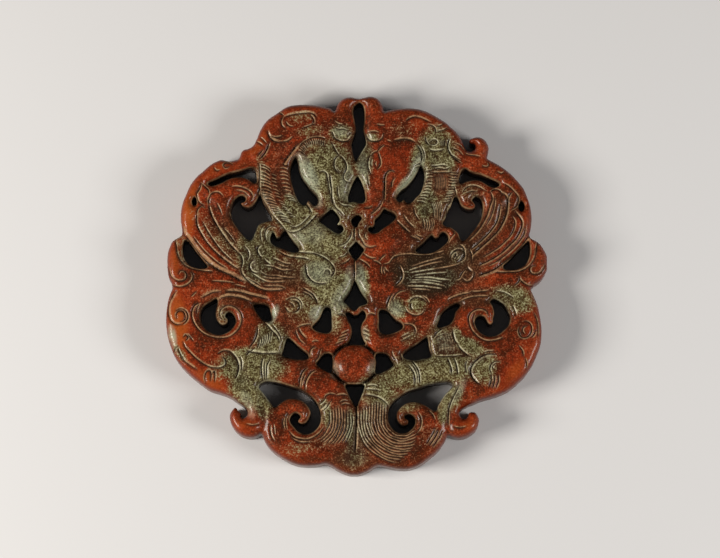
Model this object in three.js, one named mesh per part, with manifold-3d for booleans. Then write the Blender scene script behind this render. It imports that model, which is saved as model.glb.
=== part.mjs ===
// Jade carving: an openwork disc, two crested birds breast to breast over a
// round bead, with winged shoulders above and curled tails below.
// Millimetres, +Z up. It lies on its plain back at z = 0, the carved face up;
// +Y runs from the bead to the cord slot between the two crests.
import * as THREE from "three";
import { mergeVertices } from "three/addons/utils/BufferGeometryUtils.js";
import Module from "manifold-3d";

// Sizes
const THICK = 6.0; // of the slab, back to face
const BACK_EDGE = 0.45; // bevel round the back
const FACE_EDGE = 0.62; // how far the rounding reaches in from an edge of the face
const EDGE_DROP = 0.85; // and how far below the face it starts
const EDGE_MIDDLE = { drop: 0.26, share: 0.32 }; // a ring half way round the rounding
const STEP = 1.25; // longest piece of an outline
const FLAT = 0.105; // a bend this small needs no point
const NARROW = 0.12; // least width left between two roundings on a narrow bar
const BEAD = { x: -0.4, y: -12.6, rx: 3.2, ry: 3.05, middle: 3.2, top: 6.75 };
const SEAT = { clearance: 0.12, floor: 4.3, top: 8.3 }; // the round bed let into the face
const JADE = { color: 0x8a4a30, roughness: 0.28, metalness: 0 };

// The outline of the disc, counter-clockwise from the top of the cord slot, x,y by x,y
const rimTopLeft = `0.3,29.45 -0.3,29.55 -1,29.7 -2,29.5 -2.7,29.0 -3.1,28.4 -3.4,27.6
  -3.6,27.45 -4.2,27.9 -5,28.1 -6,28.3 -8,28.5 -10,28.4 -11,28.15 -11.7,27.75 -12.6,27.1 -13.9,26.2
  -14.6,25.4 -15.2,24.4 -15.6,23.4 -15.9,22.7 -16.3,22.0 -17.1,21.5 -17.8,21.35 -18.15,21.0
  -18.35,20.4 -18.6,19.85 -19.2,19.65 -20,19.5 -21.4,19.7 -22.2,19.4 -23,18.95 -24.3,17.8`;
const shoulderLeft = `-25,17.2 -25.6,16.5 -26.2,15.6 -26.8,14.2 -27.3,13 -27.6,11.5 -27.6,10
  -27.4,8.6 -27.5,7.8 -28.2,7.3 -28.9,6.8 -29.3,6.0 -29.6,5 -29.7,3.5 -29.6,2 -29.4,1.0 -29.0,0.2`;
const cheekLeft = `-28.9,-0.7 -29.1,-1.2 -29.5,-2.4 -29.75,-4 -29.85,-5.6 -29.75,-7 -29.5,-8.5
  -29.0,-10 -28.6,-11 -28.0,-12 -27.2,-13 -26.2,-14 -25.4,-14.7 -24.5,-15.4 -22.9,-16.5 -21,-17.1
  -20,-17.5 -19.2,-18`;
const hookLeft = `-18.5,-18.5 -17.6,-19.1 -17.1,-19.8 -17.05,-20.3 -17.3,-20.75 -17.8,-20.95
  -18.15,-20.7 -18.1,-20.2 -18.45,-19.95 -18.7,-19.5 -19.0,-19.3 -19.4,-19.7 -19.75,-20.3 -19.8,-21
  -19.6,-21.8 -19.2,-22.5 -18.6,-23.2 -17.7,-23.75 -16.5,-24.0 -15.7,-23.85`;
const discLeft = `-14.9,-23.5 -14.4,-24.4 -13.9,-25.2 -13.3,-25.9 -12,-26.9 -11,-27.5 -10,-28.0
  -9,-28.3 -8,-28.4 -7,-28.4 -6,-28.3 -4.9,-28.1 -4,-28.4 -3,-29 -1.8,-29.55 -0.9,-29.8`;
const discRight = `0.3,-29.75 1.3,-29.4 2.0,-29.05 2.7,-28.6 3.3,-28.4 4,-28.45 5,-28.65 6,-28.85
  7,-28.95 8,-28.9 9.3,-28.5 10.2,-28 11,-27.4 12,-26.6 12.7,-25.9 13.3,-25.1 13.8,-24.3`;
const hookRight = `14.1,-23.75 14.7,-23.85 15.3,-24.0 16.1,-24.05 17,-23.85 17.8,-23.4 18.5,-22.8
  18.9,-22.0 19.0,-21.2 18.8,-20.6 18.4,-20.1 17.9,-20.0 17.45,-20.15 17.3,-20.6 17.0,-21.0
  16.5,-21.05 16.1,-20.7 15.95,-20.1 16.3,-19.5 16.9,-19.15 17.5,-18.85 18.2,-18.6`;
const cheekRight = `19.3,-18.1 20.6,-17.75 22,-17.3 23.2,-16.8 24.3,-16.1 25.3,-15.2 26.2,-14.3
  27.0,-13.2 27.6,-12.2 28.1,-11 28.5,-10 28.75,-8.9 28.85,-7.5 28.75,-6 28.5,-4.5 28.2,-3.2
  27.8,-2.2 27.45,-1.4`;
const shoulderRight = `27.2,-0.7 27.6,-0.1 28.2,0.3 28.8,0.8 29.3,1.5 29.75,2.4 29.85,3.4
  29.75,4.4 29.35,5.3 28.8,6.2 28.0,6.9 27.25,7.3 27.0,7.75 27.2,8.7 27.35,10 27.35,11 27.2,12.1
  26.95,13.1 26.6,14 26.2,15 25.5,16 24.8,16.8`;
const rimTopRight = `24,17.6 23,18.4 22,19.05 21,19.6 20.45,19.95 20.5,20.6 20.65,21.2 20.65,21.8
  20.45,22.3 20.1,22.8 19.6,23.2 19.0,23.35 18.4,23.25 17.85,23.0 17.65,22.65 17.9,22.35
  18.4,22.3 18.65,21.9 18.45,21.3 17.9,21.05 17.3,21.2 16.9,21.7 16.65,22.3 16.3,23.1 15.75,23.9
  15.2,24.5 14.6,25.0 14,25.6 13,26.25 12,26.85 11,27.35 10,27.7 9,27.9 8,27.95 6.5,27.85
  5.5,27.7 4.7,27.5 4.25,27.45 4.1,27.9 3.95,28.4 3.7,28.9 3.3,29.4 2.7,29.7 2.0,29.8 1.2,29.65`;

// The openings between the birds, wings and tails
const openings = {
  cordSlot: `0.35,28.75 -0.1,28.5 -0.45,28.1 -0.6,27.4 -0.5,26.6 -0.3,25.6 -0.15,24.6 -0.5,23.3
    -0.85,22.2 -0.75,21.4 -0.5,20.3 -0.15,19.6 0.3,20.3 0.8,21.1 1.4,22.2 1.35,23.0 1.0,24.4
    1.1,25.6 1.15,26.8 1.05,28.0 0.8,28.55`,
  betweenBeaks: `0.1,17.0 -0.3,16.6 -0.7,15.9 -1.2,14.5 -1.4,13.7 -1.3,13.05 -0.5,13.1 0.2,12.9
    1.0,12.95 1.3,13.4 1.25,14.2 1.1,15.0 0.8,15.9 0.45,16.6`,
  underBeaks: `-0.9,10.1 -0.4,10.7 0.2,10.9 0.75,10.5 0.3,9.8 -0.1,9.1 -0.5,9.2 -0.8,9.6`,
  breastDiamond: `-0.1,6.7 -0.7,6.2 -1.3,5.4 -1.05,4.9 -0.6,4.2 -0.15,3.9 0.4,4.4 0.8,5.0
    1.1,5.5 0.4,6.3`,
  breastTall: `-0.4,0.4 -0.8,-0.5 -1.15,-1.2 -1.65,-1.9 -2.1,-2.6 -1.6,-3.1 -1.15,-3.6 -0.6,-4.05
    -0.15,-4.0 0.35,-3.45 1.0,-3.2 1.5,-3.0 1.6,-2.6 0.95,-1.7 0.5,-1.0 0.1,-0.2`,
  aboveBead: `-1.8,-4.5 -1.6,-5.1 -1.3,-5.8 -0.9,-6.6 -0.75,-7.3 -0.85,-8.0 -1.1,-8.7 -1.4,-9.3
    -0.5,-9.45 0.5,-9.45 1.3,-9.4 1.05,-8.8 0.75,-8.1 0.6,-7.4 0.6,-6.7 0.85,-6.0 1.2,-5.5
    1.4,-4.9 1.25,-4.4 0.9,-4.15 0.5,-4.4 0.2,-4.75 -0.5,-4.85 -1.1,-4.5`,
  belowBead: `-1.8,-15.8 -0.3,-15.7 1.15,-15.75 1.05,-16.5 0.7,-17.4 0.3,-18.3 -0.1,-19.0
    -0.8,-18.2 -1.4,-17.0`,
  behindHeadLeft: `-9.6,19.9 -10.2,19 -10.45,18 -10.4,17 -10.2,16 -9.8,14.6 -9.4,13.6 -9.0,13.0
    -8.5,12.6 -8.1,12.6 -7.6,13.3 -7.2,12.9 -6.8,12.5 -6.35,12.6 -6.1,13.2 -6.3,13.9 -6.7,14.4
    -7.3,15.0 -7.9,15.8 -8.5,16.6 -9.1,18.0 -9.25,19.0`,
  behindHeadRight: `10.0,18.6 10.4,18 10.55,17.2 10.5,16.2 10.25,15.2 9.9,14.4 9.3,13.8 8.8,13.2
    8.2,12.85 7.7,13.0 7.3,13.45 7.0,13.15 6.6,13.1 6.3,13.3 6.15,13.7 6.4,14.2 6.9,14.8 7.6,15.3
    8.3,16.0 9.0,16.9 9.5,17.8`,
  rimGapLeft: `-23.4,15.9 -22,16.6 -21,17.1 -20,17.5 -18,18.0 -16.6,18.4 -16.0,18.1 -15.8,17.3
    -15.8,16.1 -16.3,16.1 -17,16.6 -18.0,16.95 -19.0,16.95 -20.0,16.7 -21.4,16.0 -22.8,15.6`,
  rimGapRight: `16.2,17.4 16.5,18.0 17.0,18.2 17.7,17.8 18.5,17.5 19.3,17.35 20.3,16.95 21.3,16.5
    22.1,16.1 22.35,15.75 21.6,15.35 20.9,15.5 20.2,15.9 19.3,16.4 18.3,16.5 17.2,16.3 16.4,16.0
    16.0,16.2`,
  wingLeft: `-19.5,12.8 -19.8,11.3 -19.4,10 -18.6,8.8 -17.8,7.8 -17.2,7.2 -16.5,7.1 -16.0,8.1
    -15.4,9.4 -14.2,9.95 -13.4,10.1 -13.4,10.7 -14.0,11.8 -14.7,12.9 -15.2,14.0 -15.7,13.3
    -16.4,12.4 -17.0,12.1 -17.6,12.2 -18.2,12.8 -17.6,13.1 -17.45,13.6 -17.8,13.95 -18.4,13.9
    -19.1,13.4`,
  wingRight: `19.2,13.6 19.6,12.8 19.7,12 19.6,11.2 19.35,10.2 18.9,9.4 18.3,8.6 17.7,7.9
    17.2,7.3 16.5,6.95 16.1,7.4 15.9,8.0 15.3,8.6 14.6,9.05 13.9,9.2 13.45,9.6 13.9,10.7 14.2,11.6
    14.7,12.3 14.95,13.1 15.4,13.8 15.8,13.6 16.1,12.9 16.4,12.4 17.0,12.0 17.7,11.85 18.3,11.95
    18.55,12.4 18.35,12.9 18.05,13.3 18.5,13.8`,
  crescentLeft: `-27.0,6.9 -26.5,6.8 -25.7,5.9 -25.2,5.2 -24.1,3.8 -23.4,2.75 -24.6,2.55 -25.4,2.7
    -26.2,3.1 -26.9,3.9 -27.25,5.0 -27.25,6.1`,
  crescentRight: `26.9,6.8 26.4,6.5 25.6,5.7 24.8,4.9 23.8,3.9 22.9,3.0 23.0,2.5 23.8,2.35
    24.8,2.4 25.6,2.65 26.4,3.2 26.9,4.2 27.1,5.3 27.05,6.2`,
  drilledLeft: `-25.5,13.75 -25.8,13.4 -25.85,12.9 -25.65,12.5 -25.35,12.5 -25.15,12.9 -25.2,13.4`,
  drilledRight: `25.8,13.1 25.4,12.7 25.35,12.1 25.6,11.65 26.0,11.65 26.25,12.1 26.2,12.7`,
  neckCurlLeft: `-13.6,7.4 -13.2,8.15 -12.9,7.9 -12.6,7.35 -12.1,7.5 -11.8,8.0 -11.2,8.4
    -10.7,7.8 -10,6.8 -9.2,5.8 -9.1,5.3 -10,5.1 -11.5,5.6 -13,6.2 -13.5,6.7`,
  neckCurlRight: `11.7,7.7 11.2,7.4 10.4,6.6 9.7,6.0 9.15,5.5 9.4,5.1 10.3,4.95 11.5,5.0 12.7,5.5
    13.6,6.2 14.25,6.9 14.3,7.5 13.9,8.0 13.4,8.15 13.05,7.9 12.7,7.35 12.2,7.3`,
  underBeakLeft: `-6.0,10.1 -5.4,10.8 -4.7,11.4 -4.0,11.85 -3.1,11.1 -2.7,10.2 -3.1,9.4 -2.45,9.35
    -2.1,8.7 -2.6,8.1 -3.2,8.1 -4.2,8.7 -5.4,9.6`,
  underBeakRight: `4.2,11.85 4.9,11.6 5.7,11.3 6.15,10.8 6.0,10.4 5.5,9.9 4.7,9.3 4.0,8.8 3.4,8.3
    2.8,8.1 2.2,8.2 1.75,8.6 1.9,9.0 2.5,9.05 2.75,9.5 2.8,10.2 3.4,10.8 3.8,11.3`,
  tailScrollLeft: `-21.9,-2.3 -23.0,-2.9 -23.7,-3.3 -24.2,-3.9 -24.45,-5.0 -24.2,-6.2 -23.3,-7.3
    -21.8,-7.9 -20.2,-7.5 -19.2,-6.5 -18.95,-5.7 -19.3,-4.8 -19.8,-4.4 -20.3,-4.5 -20.6,-5.0
    -20.2,-5.5 -20.3,-6.1 -20.8,-6.4 -21.4,-6.2 -22.0,-5.3 -22.05,-4.1 -21.8,-3.0`,
  tailScrollRight: `20.8,-2.7 21.2,-2.35 21.9,-2.5 22.6,-2.9 23.1,-3.4 23.5,-4.1 23.9,-5.0
    23.85,-5.8 23.5,-6.6 22.8,-7.3 22.0,-7.9 21.1,-8.15 20.1,-8.0 19.1,-7.4 18.6,-6.7 18.4,-5.9
    18.65,-5.2 19.1,-5.0 19.8,-5.1 20.2,-5.6 20.5,-6.1 20.9,-6.3 21.25,-5.9 21.25,-5.4 21.45,-4.7
    21.35,-3.9 21.1,-3.2`,
  thighLeft: `-16.2,-3.2 -15.2,-3.1 -13.9,-3.4 -13.5,-4.4 -13.4,-5.6 -14.5,-5.7 -15.4,-4.8
    -16.0,-3.8`,
  thighRight: `15.6,-3.05 16.15,-3.15 15.9,-3.7 15.4,-4.3 15.2,-5.0 15.0,-5.6 14.6,-6.15
    13.9,-6.5 13.0,-6.75 12.5,-6.65 12.65,-6.1 12.9,-5.5 13.2,-4.7 13.7,-4.1 14.5,-3.5`,
  fanLeft: `-10.9,-8.5 -10.2,-8.8 -9,-9.9 -7.6,-11.1 -7.65,-11.6 -9,-11.8 -10.4,-11.6 -11.7,-11.1
    -11.5,-10.3 -11.2,-9.2`,
  fanRight: `10.9,-8.35 10.3,-8.7 9.3,-9.4 8.3,-10.0 7.4,-10.7 7.15,-11.15 7.5,-11.6 8.3,-11.8
    9.1,-11.9 10.2,-11.7 11.1,-11.5 11.6,-11.2 11.4,-10.5 11.2,-9.6 11.1,-8.8`,
  legLeft: `-4.9,-3.65 -4.2,-3.8 -4.0,-5.0 -3.95,-6.2 -4.0,-7.1 -4.4,-7.55 -5.1,-7.6 -6.4,-7.25
    -7.0,-6.7 -6.4,-6.0 -5.8,-5.3 -5.4,-4.4`,
  legRight: `3.6,-4.05 4.3,-4.05 4.9,-4.3 5.4,-4.9 6.1,-5.6 6.9,-6.05 7.2,-6.5 7.0,-6.95 6.2,-7.4
    5.2,-7.75 4.2,-7.75 3.6,-7.4 3.4,-6.6 3.45,-5.5 3.4,-4.5`,
  besideBeadLeft: `-5.1,-10.95 -4.0,-11.0 -3.8,-12.0 -3.85,-13.0 -4.05,-13.8 -5.3,-13.3
    -6.3,-12.5 -5.7,-11.6`,
  besideBeadRight: `3.0,-10.9 4.0,-10.85 4.8,-11.1 5.3,-11.9 5.7,-12.6 5.2,-13.1 4.3,-13.6
    3.4,-14.0 2.9,-13.8 2.9,-13.0 3.0,-12.2 2.85,-11.5`,
  footScrollLeft: `-15.3,-16.0 -14.5,-15.35 -13,-15.3 -12,-15.5 -11,-15.8 -10,-16.1 -9,-16.4
    -8.2,-16.9 -7.5,-17.4 -6.8,-18.0 -6.2,-18.8 -5.8,-19.8 -5.65,-21.2 -5.9,-22.1 -6.6,-22.95
    -7.5,-23.4 -8.3,-23.4 -9.1,-23.1 -9.8,-22.4 -10.35,-21.6 -10.4,-21.0 -9.95,-20.4 -9.4,-20.25
    -8.8,-20.75 -9.2,-21.5 -8.6,-21.9 -8.0,-21.7 -7.4,-20.9 -7.2,-20.1 -7.6,-19.2 -8.5,-18.3
    -10,-17.9 -11.0,-18.05 -11.9,-18.6 -12.8,-19.2 -13.5,-18.5 -14.4,-17.3`,
  footScrollRight: `14.2,-15.35 13.2,-15.4 12.0,-15.6 11.0,-15.8 10.2,-16.1 9.2,-16.4 8.3,-16.65
    7.3,-17.15 6.5,-17.75 5.8,-18.4 5.2,-19.1 4.95,-19.8 4.85,-20.8 5.0,-21.7 5.4,-22.5 6.1,-23.1
    7.0,-23.35 7.9,-23.15 8.7,-22.5 9.05,-21.8 9.0,-21.1 8.6,-20.6 8.05,-20.45 7.5,-20.6
    7.45,-20.95 7.95,-21.3 7.95,-21.9 7.5,-22.15 7.0,-22.1 6.5,-21.7 6.2,-21.0 6.2,-20.2 6.6,-19.5
    7.2,-18.95 8.0,-18.55 9.0,-18.4 9.8,-18.6 10.5,-18.9 11.2,-19.3 12.0,-19.8 12.4,-19.7
    12.6,-19.1 13.1,-18.2 13.8,-17.2 14.5,-16.45 14.9,-15.95 14.75,-15.55`,
};

// The cut lines of the face that show from a step away: half width, depth, points
const cuts = [
  // crests, brows and cheeks of the two heads
  [0.3, 0.5, `-10.3,20.4 -9.6,21.7 -8.6,22.8 -7,23.4 -5.3,23.1`],
  [0.3, 0.5, `10.4,18.9 10.3,20.0 9.9,21.2 9.2,22.3 8.0,23.0 6.8,23.0 5.8,22.6`],
  [0.28, 0.45, `-4.0,22.2 -3.2,22.7 -2.4,22.5 -1.5,22.6 -1.0,23.3`],
  [0.28, 0.45, `1.5,23.6 1.9,22.7 2.5,22.3 3.3,22.3 4.0,22.8 4.4,23.6`],
  [0.3, 0.5, `-5.4,17.5 -4.6,16.8 -4.2,15.8 -4.0,14.4 -3.9,12.9`],
  [0.3, 0.5, `5.9,17.7 5.2,17.9 4.6,17.2 4.3,16.2 4.2,14.5 4.1,13.0 3.6,12.0`],
  // rim scrolls over the heads
  [0.28, 0.4, `-12.2,25.8 -11.2,26.9 -9.4,27.2 -7.8,27.0 -6.7,26.3`],
  [0.28, 0.4, `7.8,26.1 9,26.4 10.4,26.2 11.5,25.4 12.1,24.4 12.0,23.6`],
  [0.28, 0.4, `-14.0,24.1 -13.2,22.7 -12.0,22.4 -10.8,22.8 -9.9,23.9`],
  // necks
  [0.3, 0.45, `-13.9,22.0 -14.3,21.1 -15.2,19.8 -15.6,19.0`],
  [0.3, 0.45, `14.3,23.2 14.2,21.8 14.5,20.8 15.4,19.7 16.1,19.0`],
  [0.3, 0.5, `-10.9,8.3 -9.9,8.1 -8.4,8.7 -7.2,9.8 -6.5,10.9`],
  [0.3, 0.5, `6.6,9.7 7.3,9.0 8.1,8.1 8.8,7.4 9.7,6.9`],
  // wing feathers
  [0.3, 0.5, `-23.1,13.3 -22.8,11.2 -21.6,8.8 -20,6.4 -18.2,4.4`],
  [0.3, 0.5, `-25.1,10.9 -24.9,9 -24,7.1 -22.4,5.1 -20.4,3.4 -18.6,2.1`],
  [0.28, 0.4, `-24.1,9.4 -23,7.6 -21.4,5.6 -19.6,3.8`],
  [0.3, 0.45, `-26.9,7.9 -25.6,6.4 -24.4,4.9`],
  [0.3, 0.5, `23.5,13.6 23.7,12.2 23.2,10.4 22.4,8.6 21.2,7.3 20,6.2 19.0,5.4`],
  [0.3, 0.5, `22.2,11.3 22.1,10.2 21.5,9.1 20.7,8.0 19.7,7.0`],
  [0.3, 0.5, `25.3,10.4 25.8,9.4 25.4,8.1 24.8,7.0 24.0,6.1 22.8,5.0 21.6,4.1`],
  [0.3, 0.45, `26.6,7.6 25.9,6.6 25.0,5.7 24.2,4.8`],
  // lower border of the wings, to the ear
  [0.32, 0.55, `-22.6,1.9 -20.4,1.4 -18.4,0.7 -16.6,-0.2 -14.6,-0.9 -12,-1.1`],
  [0.32, 0.55, `22.6,1.9 20.8,1.7 19.0,1.4 17.4,0.2 15.6,-0.4 13.4,-0.8`],
  [0.3, 0.45, `-28.2,6.2 -28,4.8 -27.3,3.3 -26.1,2.5 -24.6,2.05`],
  [0.3, 0.45, `27.9,6.2 27.9,4.8 27.5,3.5 26.6,2.5 25.2,1.95 23.9,1.85`],
  [0.28, 0.45, `-28.4,2.0 -27.2,2.5 -26.2,1.6 -26.0,0.4 -27.1,-0.4 -28.3,-0.5`],
  // body bands and coverts
  [0.28, 0.45, `-13.6,3.2 -10.6,2.4 -7.6,2.0 -5.2,1.2`],
  [0.28, 0.45, `-13.2,0.9 -10.4,0.5 -7.8,0.3`],
  [0.28, 0.45, `13.8,0.9 11.2,1.0 8.4,0.2`],
  [0.28, 0.45, `13.4,2.6 11.0,2.6 8.4,2.2`],
  [0.3, 0.5, `6.9,2.7 7.3,1.6 7.2,0.5 6.6,-0.5 5.6,-1.4 5.0,-2.5 4.7,-3.5`],
  [0.3, 0.5, `-7.2,1.6 -7.6,0.4 -7.3,-0.9 -6.4,-2.0 -5.7,-3.2`],
  [0.28, 0.45, `-20.8,-1.9 -18.6,-1.8 -16.6,-2.3 -14.4,-2.4 -12.6,-2.6`],
  [0.28, 0.45, `20.2,-1.7 18.0,-1.8 16.4,-2.2 14.4,-2.4 12.4,-3.0`],
  // scroll rings
  [0.28, 0.45, `-25.6,-3.9 -25.5,-6.2 -24.5,-7.7 -22.6,-8.6 -20.2,-8.4 -18.4,-7.0 -17.9,-5.3
    -18.8,-3.7 -20.4,-3.4 -21.2,-4.2`],
  [0.28, 0.45, `24.6,-3.9 24.8,-5.6 24.3,-7.2 22.9,-8.4 20.8,-8.9 18.9,-8.4 17.8,-7.2 17.4,-5.6
    17.9,-4.3 19.0,-3.7 20.2,-4.1 20.8,-5.0`],
  // cheek scrolls and the fins above the feet
  [0.3, 0.45, `-27.1,-9.4 -26.1,-10.8 -24.7,-12.1 -23,-12.9 -21.3,-13.0 -20.6,-12.2`],
  [0.3, 0.45, `-21.5,-10.9 -20.2,-10.4 -18.9,-11.2 -18.4,-13.1 -18.9,-14.8`],
  [0.3, 0.45, `21.3,-11.0 19.9,-11.1 18.7,-11.6 17.9,-12.6 17.7,-14.0 18.4,-15.3`],
  [0.3, 0.45, `22.2,-12.3 21.2,-12.1 20.6,-13.0 21.1,-13.9`],
  [0.3, 0.5, `-16.4,-10.7 -14.6,-11.0 -12.8,-11.7`],
  [0.3, 0.5, `16.5,-10.8 15.0,-11.3 12.8,-11.7`],
  [0.3, 0.5, `-15.6,-7.3 -16.2,-9.0 -16.9,-10.1`],
  [0.3, 0.5, `15.0,-7.3 15.2,-8.6 16.2,-9.7`],
  // bands over the arch
  [0.3, 0.5, `-14.8,-12.0 -14.9,-13.6 -15.0,-15.0`],
  [0.3, 0.5, `-13.9,-12.2 -13.9,-13.4 -14.0,-14.8`],
  [0.3, 0.5, `-7.6,-13.1 -8.6,-14.7 -9.0,-16.0`],
  [0.3, 0.5, `-6.4,-13.4 -7.7,-14.9 -8.1,-16.3`],
  [0.3, 0.5, `8.1,-12.8 8.8,-13.8 9.0,-14.9 8.8,-16.1`],
  [0.3, 0.5, `8.8,-12.3 9.5,-13.4 9.9,-14.5 9.9,-15.8`],
  [0.3, 0.5, `14.1,-11.9 14.6,-12.9 14.8,-14.2`],
  [0.3, 0.5, `15.1,-11.9 15.6,-13.0 15.7,-14.3`],
];

// Rounds: half width, depth, centre x and y, radius, from and to in degrees
const rounds = [
  [0.3, 0.5, -9.6, -3.3, 1.45, 60, 330],
  [0.3, 0.5, 9.4, -3.4, 1.35, 210, 480],
  [0.26, 0.4, -27.4, -5.0, 1.2, 20, 330],
  [0.26, 0.4, 26.4, -7.0, 1.35, 210, 520],
];
const FOOT_DISCS = [
  { x: -8.1, y: -20.9, first: 3.4, pitch: 1.25, rings: 3, from: 200, to: 345, half: 0.24, depth: 0.36 },
  { x: 7.4, y: -20.9, first: 3.4, pitch: 1.25, rings: 3, from: 195, to: 340, half: 0.24, depth: 0.36 },
];
const EYES = [
  { x: -2.7, y: 18.4, rx: 1.1, ry: 1.25, half: 0.24, depth: 0.4 },
  { x: 2.8, y: 19.1, rx: 0.95, ry: 1.2, half: 0.24, depth: 0.4 },
];

// A list of points from text.
const read = (text) =>
  text.trim().split(/\s+/).map((pair) => {
    const [x, y] = pair.split(",").map(Number);
    return new THREE.Vector2(x, y);
  });

// A closed centripetal spline through the points, with more points where they stand apart.
function smooth(points) {
  const knots = points.map((p) => new THREE.Vector3(p.x, p.y, 0));
  const curve = new THREE.CatmullRomCurve3(knots, true, "centripetal");
  return knots.flatMap((knot, i) => {
    const gap = knot.distanceTo(knots[(i + 1) % knots.length]);
    const parts = Math.max(1, Math.round(gap / STEP));
    return Array.from({ length: parts }, (_, k) => {
      const p = curve.getPoint((i + k / parts) / knots.length);
      return new THREE.Vector2(p.x, p.y);
    });
  });
}

// Leaves out points that lie almost on the line between their neighbours.
function thinned(loop) {
  const kept = loop.slice();
  for (let i = 0; i < kept.length; i++) {
    const a = kept[(i + kept.length - 1) % kept.length];
    const b = kept[(i + 1) % kept.length];
    const gap = a.distanceTo(b);
    const bend = Math.abs(side(a, b, kept[i])) / gap;
    if (bend < FLAT && gap < 2 * STEP) kept.splice(i, 1);
  }
  return kept;
}

const outline = (text, counterClockwise) => {
  const loop = thinned(smooth(read(text)));
  return THREE.ShapeUtils.area(loop) > 0 === counterClockwise ? loop : loop.reverse();
};

// Twice the area of the triangle a, b, c, positive when it turns left.
function side(a, b, c) {
  return (b.x - a.x) * (c.y - a.y) - (b.y - a.y) * (c.x - a.x);
}

function crossing(s, t) {
  return side(s.a, s.b, t.a) * side(s.a, s.b, t.b) < 0 && side(t.a, t.b, s.a) * side(t.a, t.b, s.b) < 0;
}

function distanceToSegment(p, s) {
  const along = s.b.clone().sub(s.a);
  const t = THREE.MathUtils.clamp(p.clone().sub(s.a).dot(along) / along.lengthSq(), 0, 1);
  return p.distanceTo(s.a.clone().addScaledVector(along, t));
}

// At each point of a loop, the way into the stone, longer at corners so that edges stay parallel.
function inwardWays(loop) {
  return loop.map((p, i) => {
    const before = p.clone().sub(loop[(i + loop.length - 1) % loop.length]).normalize();
    const after = loop[(i + 1) % loop.length].clone().sub(p).normalize();
    const way = new THREE.Vector2(-(before.y + after.y), before.x + after.x).normalize();
    const open = Math.max(0.6, way.dot(new THREE.Vector2(-before.y, before.x)));
    return way.multiplyScalar(1 / open);
  });
}

const rim = [rimTopLeft, shoulderLeft, cheekLeft, hookLeft, discLeft, discRight, hookRight,
  cheekRight, shoulderRight, rimTopRight].join(" ");
const loops = [outline(rim, true), ...Object.values(openings).map((text) => outline(text, false))];
const ways = loops.map(inwardWays);
const reach = loops.map((loop) => loop.map(() => FACE_EDGE));
const inset = (k, share) =>
  loops[k].map((p, i) => p.clone().addScaledVector(ways[k][i], reach[k][i] * share));

// The points whose rounding is too wide for the bar they are on.
function tightPoints() {
  const tight = new Set();
  const segments = loops.flatMap((loop, k) => {
    const ring = inset(k, 1);
    return ring.map((a, i) => {
      const j = (i + 1) % ring.length;
      return { k, i, j, a, b: ring[j] };
    });
  });
  const mark = (s) => {
    tight.add(`${s.k} ${s.i}`);
    tight.add(`${s.k} ${s.j}`);
  };
  for (const s of segments) {
    const before = loops[s.k][s.j].clone().sub(loops[s.k][s.i]);
    const after = s.b.clone().sub(s.a);
    if (before.dot(after) < 0.15 * before.lengthSq()) mark(s);
  }
  segments.forEach((s, m) => {
    for (const t of segments.slice(m + 1)) {
      const far = Math.abs(s.a.x - t.a.x) > 4 || Math.abs(s.a.y - t.a.y) > 4;
      const joined = s.k === t.k && (s.j === t.i || t.j === s.i);
      if (far || joined) continue;
      const gap = Math.min(distanceToSegment(s.a, t), distanceToSegment(t.a, s));
      if (gap < NARROW || crossing(s, t)) {
        mark(s);
        mark(t);
      }
    }
  });
  return tight;
}
for (let round = 0, tight = tightPoints(); tight.size && round < 24; round++) {
  for (const name of tight) {
    const [k, i] = name.split(" ").map(Number);
    reach[k][i] *= 0.72;
  }
  tight = tightPoints();
}

// The slab: rings of the outlines one above the other, and a cap on each side.
function slab() {
  const levels = [
    [0, BACK_EDGE / FACE_EDGE],
    [BACK_EDGE, 0],
    [THICK - EDGE_DROP, 0],
    [THICK - EDGE_MIDDLE.drop, EDGE_MIDDLE.share],
    [THICK, 1],
  ];
  const places = [];
  const faces = [];
  const starts = levels.map(([z, share]) =>
    loops.map((loop, k) => {
      const start = places.length / 3;
      for (const p of inset(k, share)) places.push(p.x, p.y, z);
      return start;
    }),
  );
  for (let level = 1; level < levels.length; level++)
    loops.forEach((loop, k) =>
      loop.forEach((p, i) => {
        const j = (i + 1) % loop.length;
        const [low, high] = [starts[level - 1][k], starts[level][k]];
        faces.push(low + i, low + j, high + j, low + i, high + j, high + i);
      }),
    );
  for (const level of [0, levels.length - 1]) {
    const rings = loops.map((loop, k) => inset(k, levels[level][1]));
    const at = rings.flatMap((ring, k) => ring.map((p, i) => starts[level][k] + i));
    for (const [a, b, c] of THREE.ShapeUtils.triangulateShape(rings[0], rings.slice(1)))
      faces.push(...(level ? [at[a], at[b], at[c]] : [at[a], at[c], at[b]]));
  }
  return indexed(places, faces);
}

function indexed(places, faces) {
  const geometry = new THREE.BufferGeometry();
  geometry.setAttribute("position", new THREE.Float32BufferAttribute(places, 3));
  geometry.setIndex(faces);
  return geometry;
}

// Solids for cutting and joining
const library = await Module();
library.setup();

function solid(geometry) {
  const bare = geometry.clone();
  bare.deleteAttribute("normal");
  bare.deleteAttribute("uv");
  const merged = mergeVertices(bare, 1e-4);
  const corners = [];
  for (let i = 0; i < merged.index.count; i += 3) {
    const [a, b, c] = [0, 1, 2].map((k) => merged.index.getX(i + k));
    if (a !== b && b !== c && c !== a) corners.push(a, b, c);
  }
  return new library.Manifold(new library.Mesh({
    numProp: 3,
    vertProperties: merged.attributes.position.array,
    triVerts: new Uint32Array(corners),
  }));
}

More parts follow.
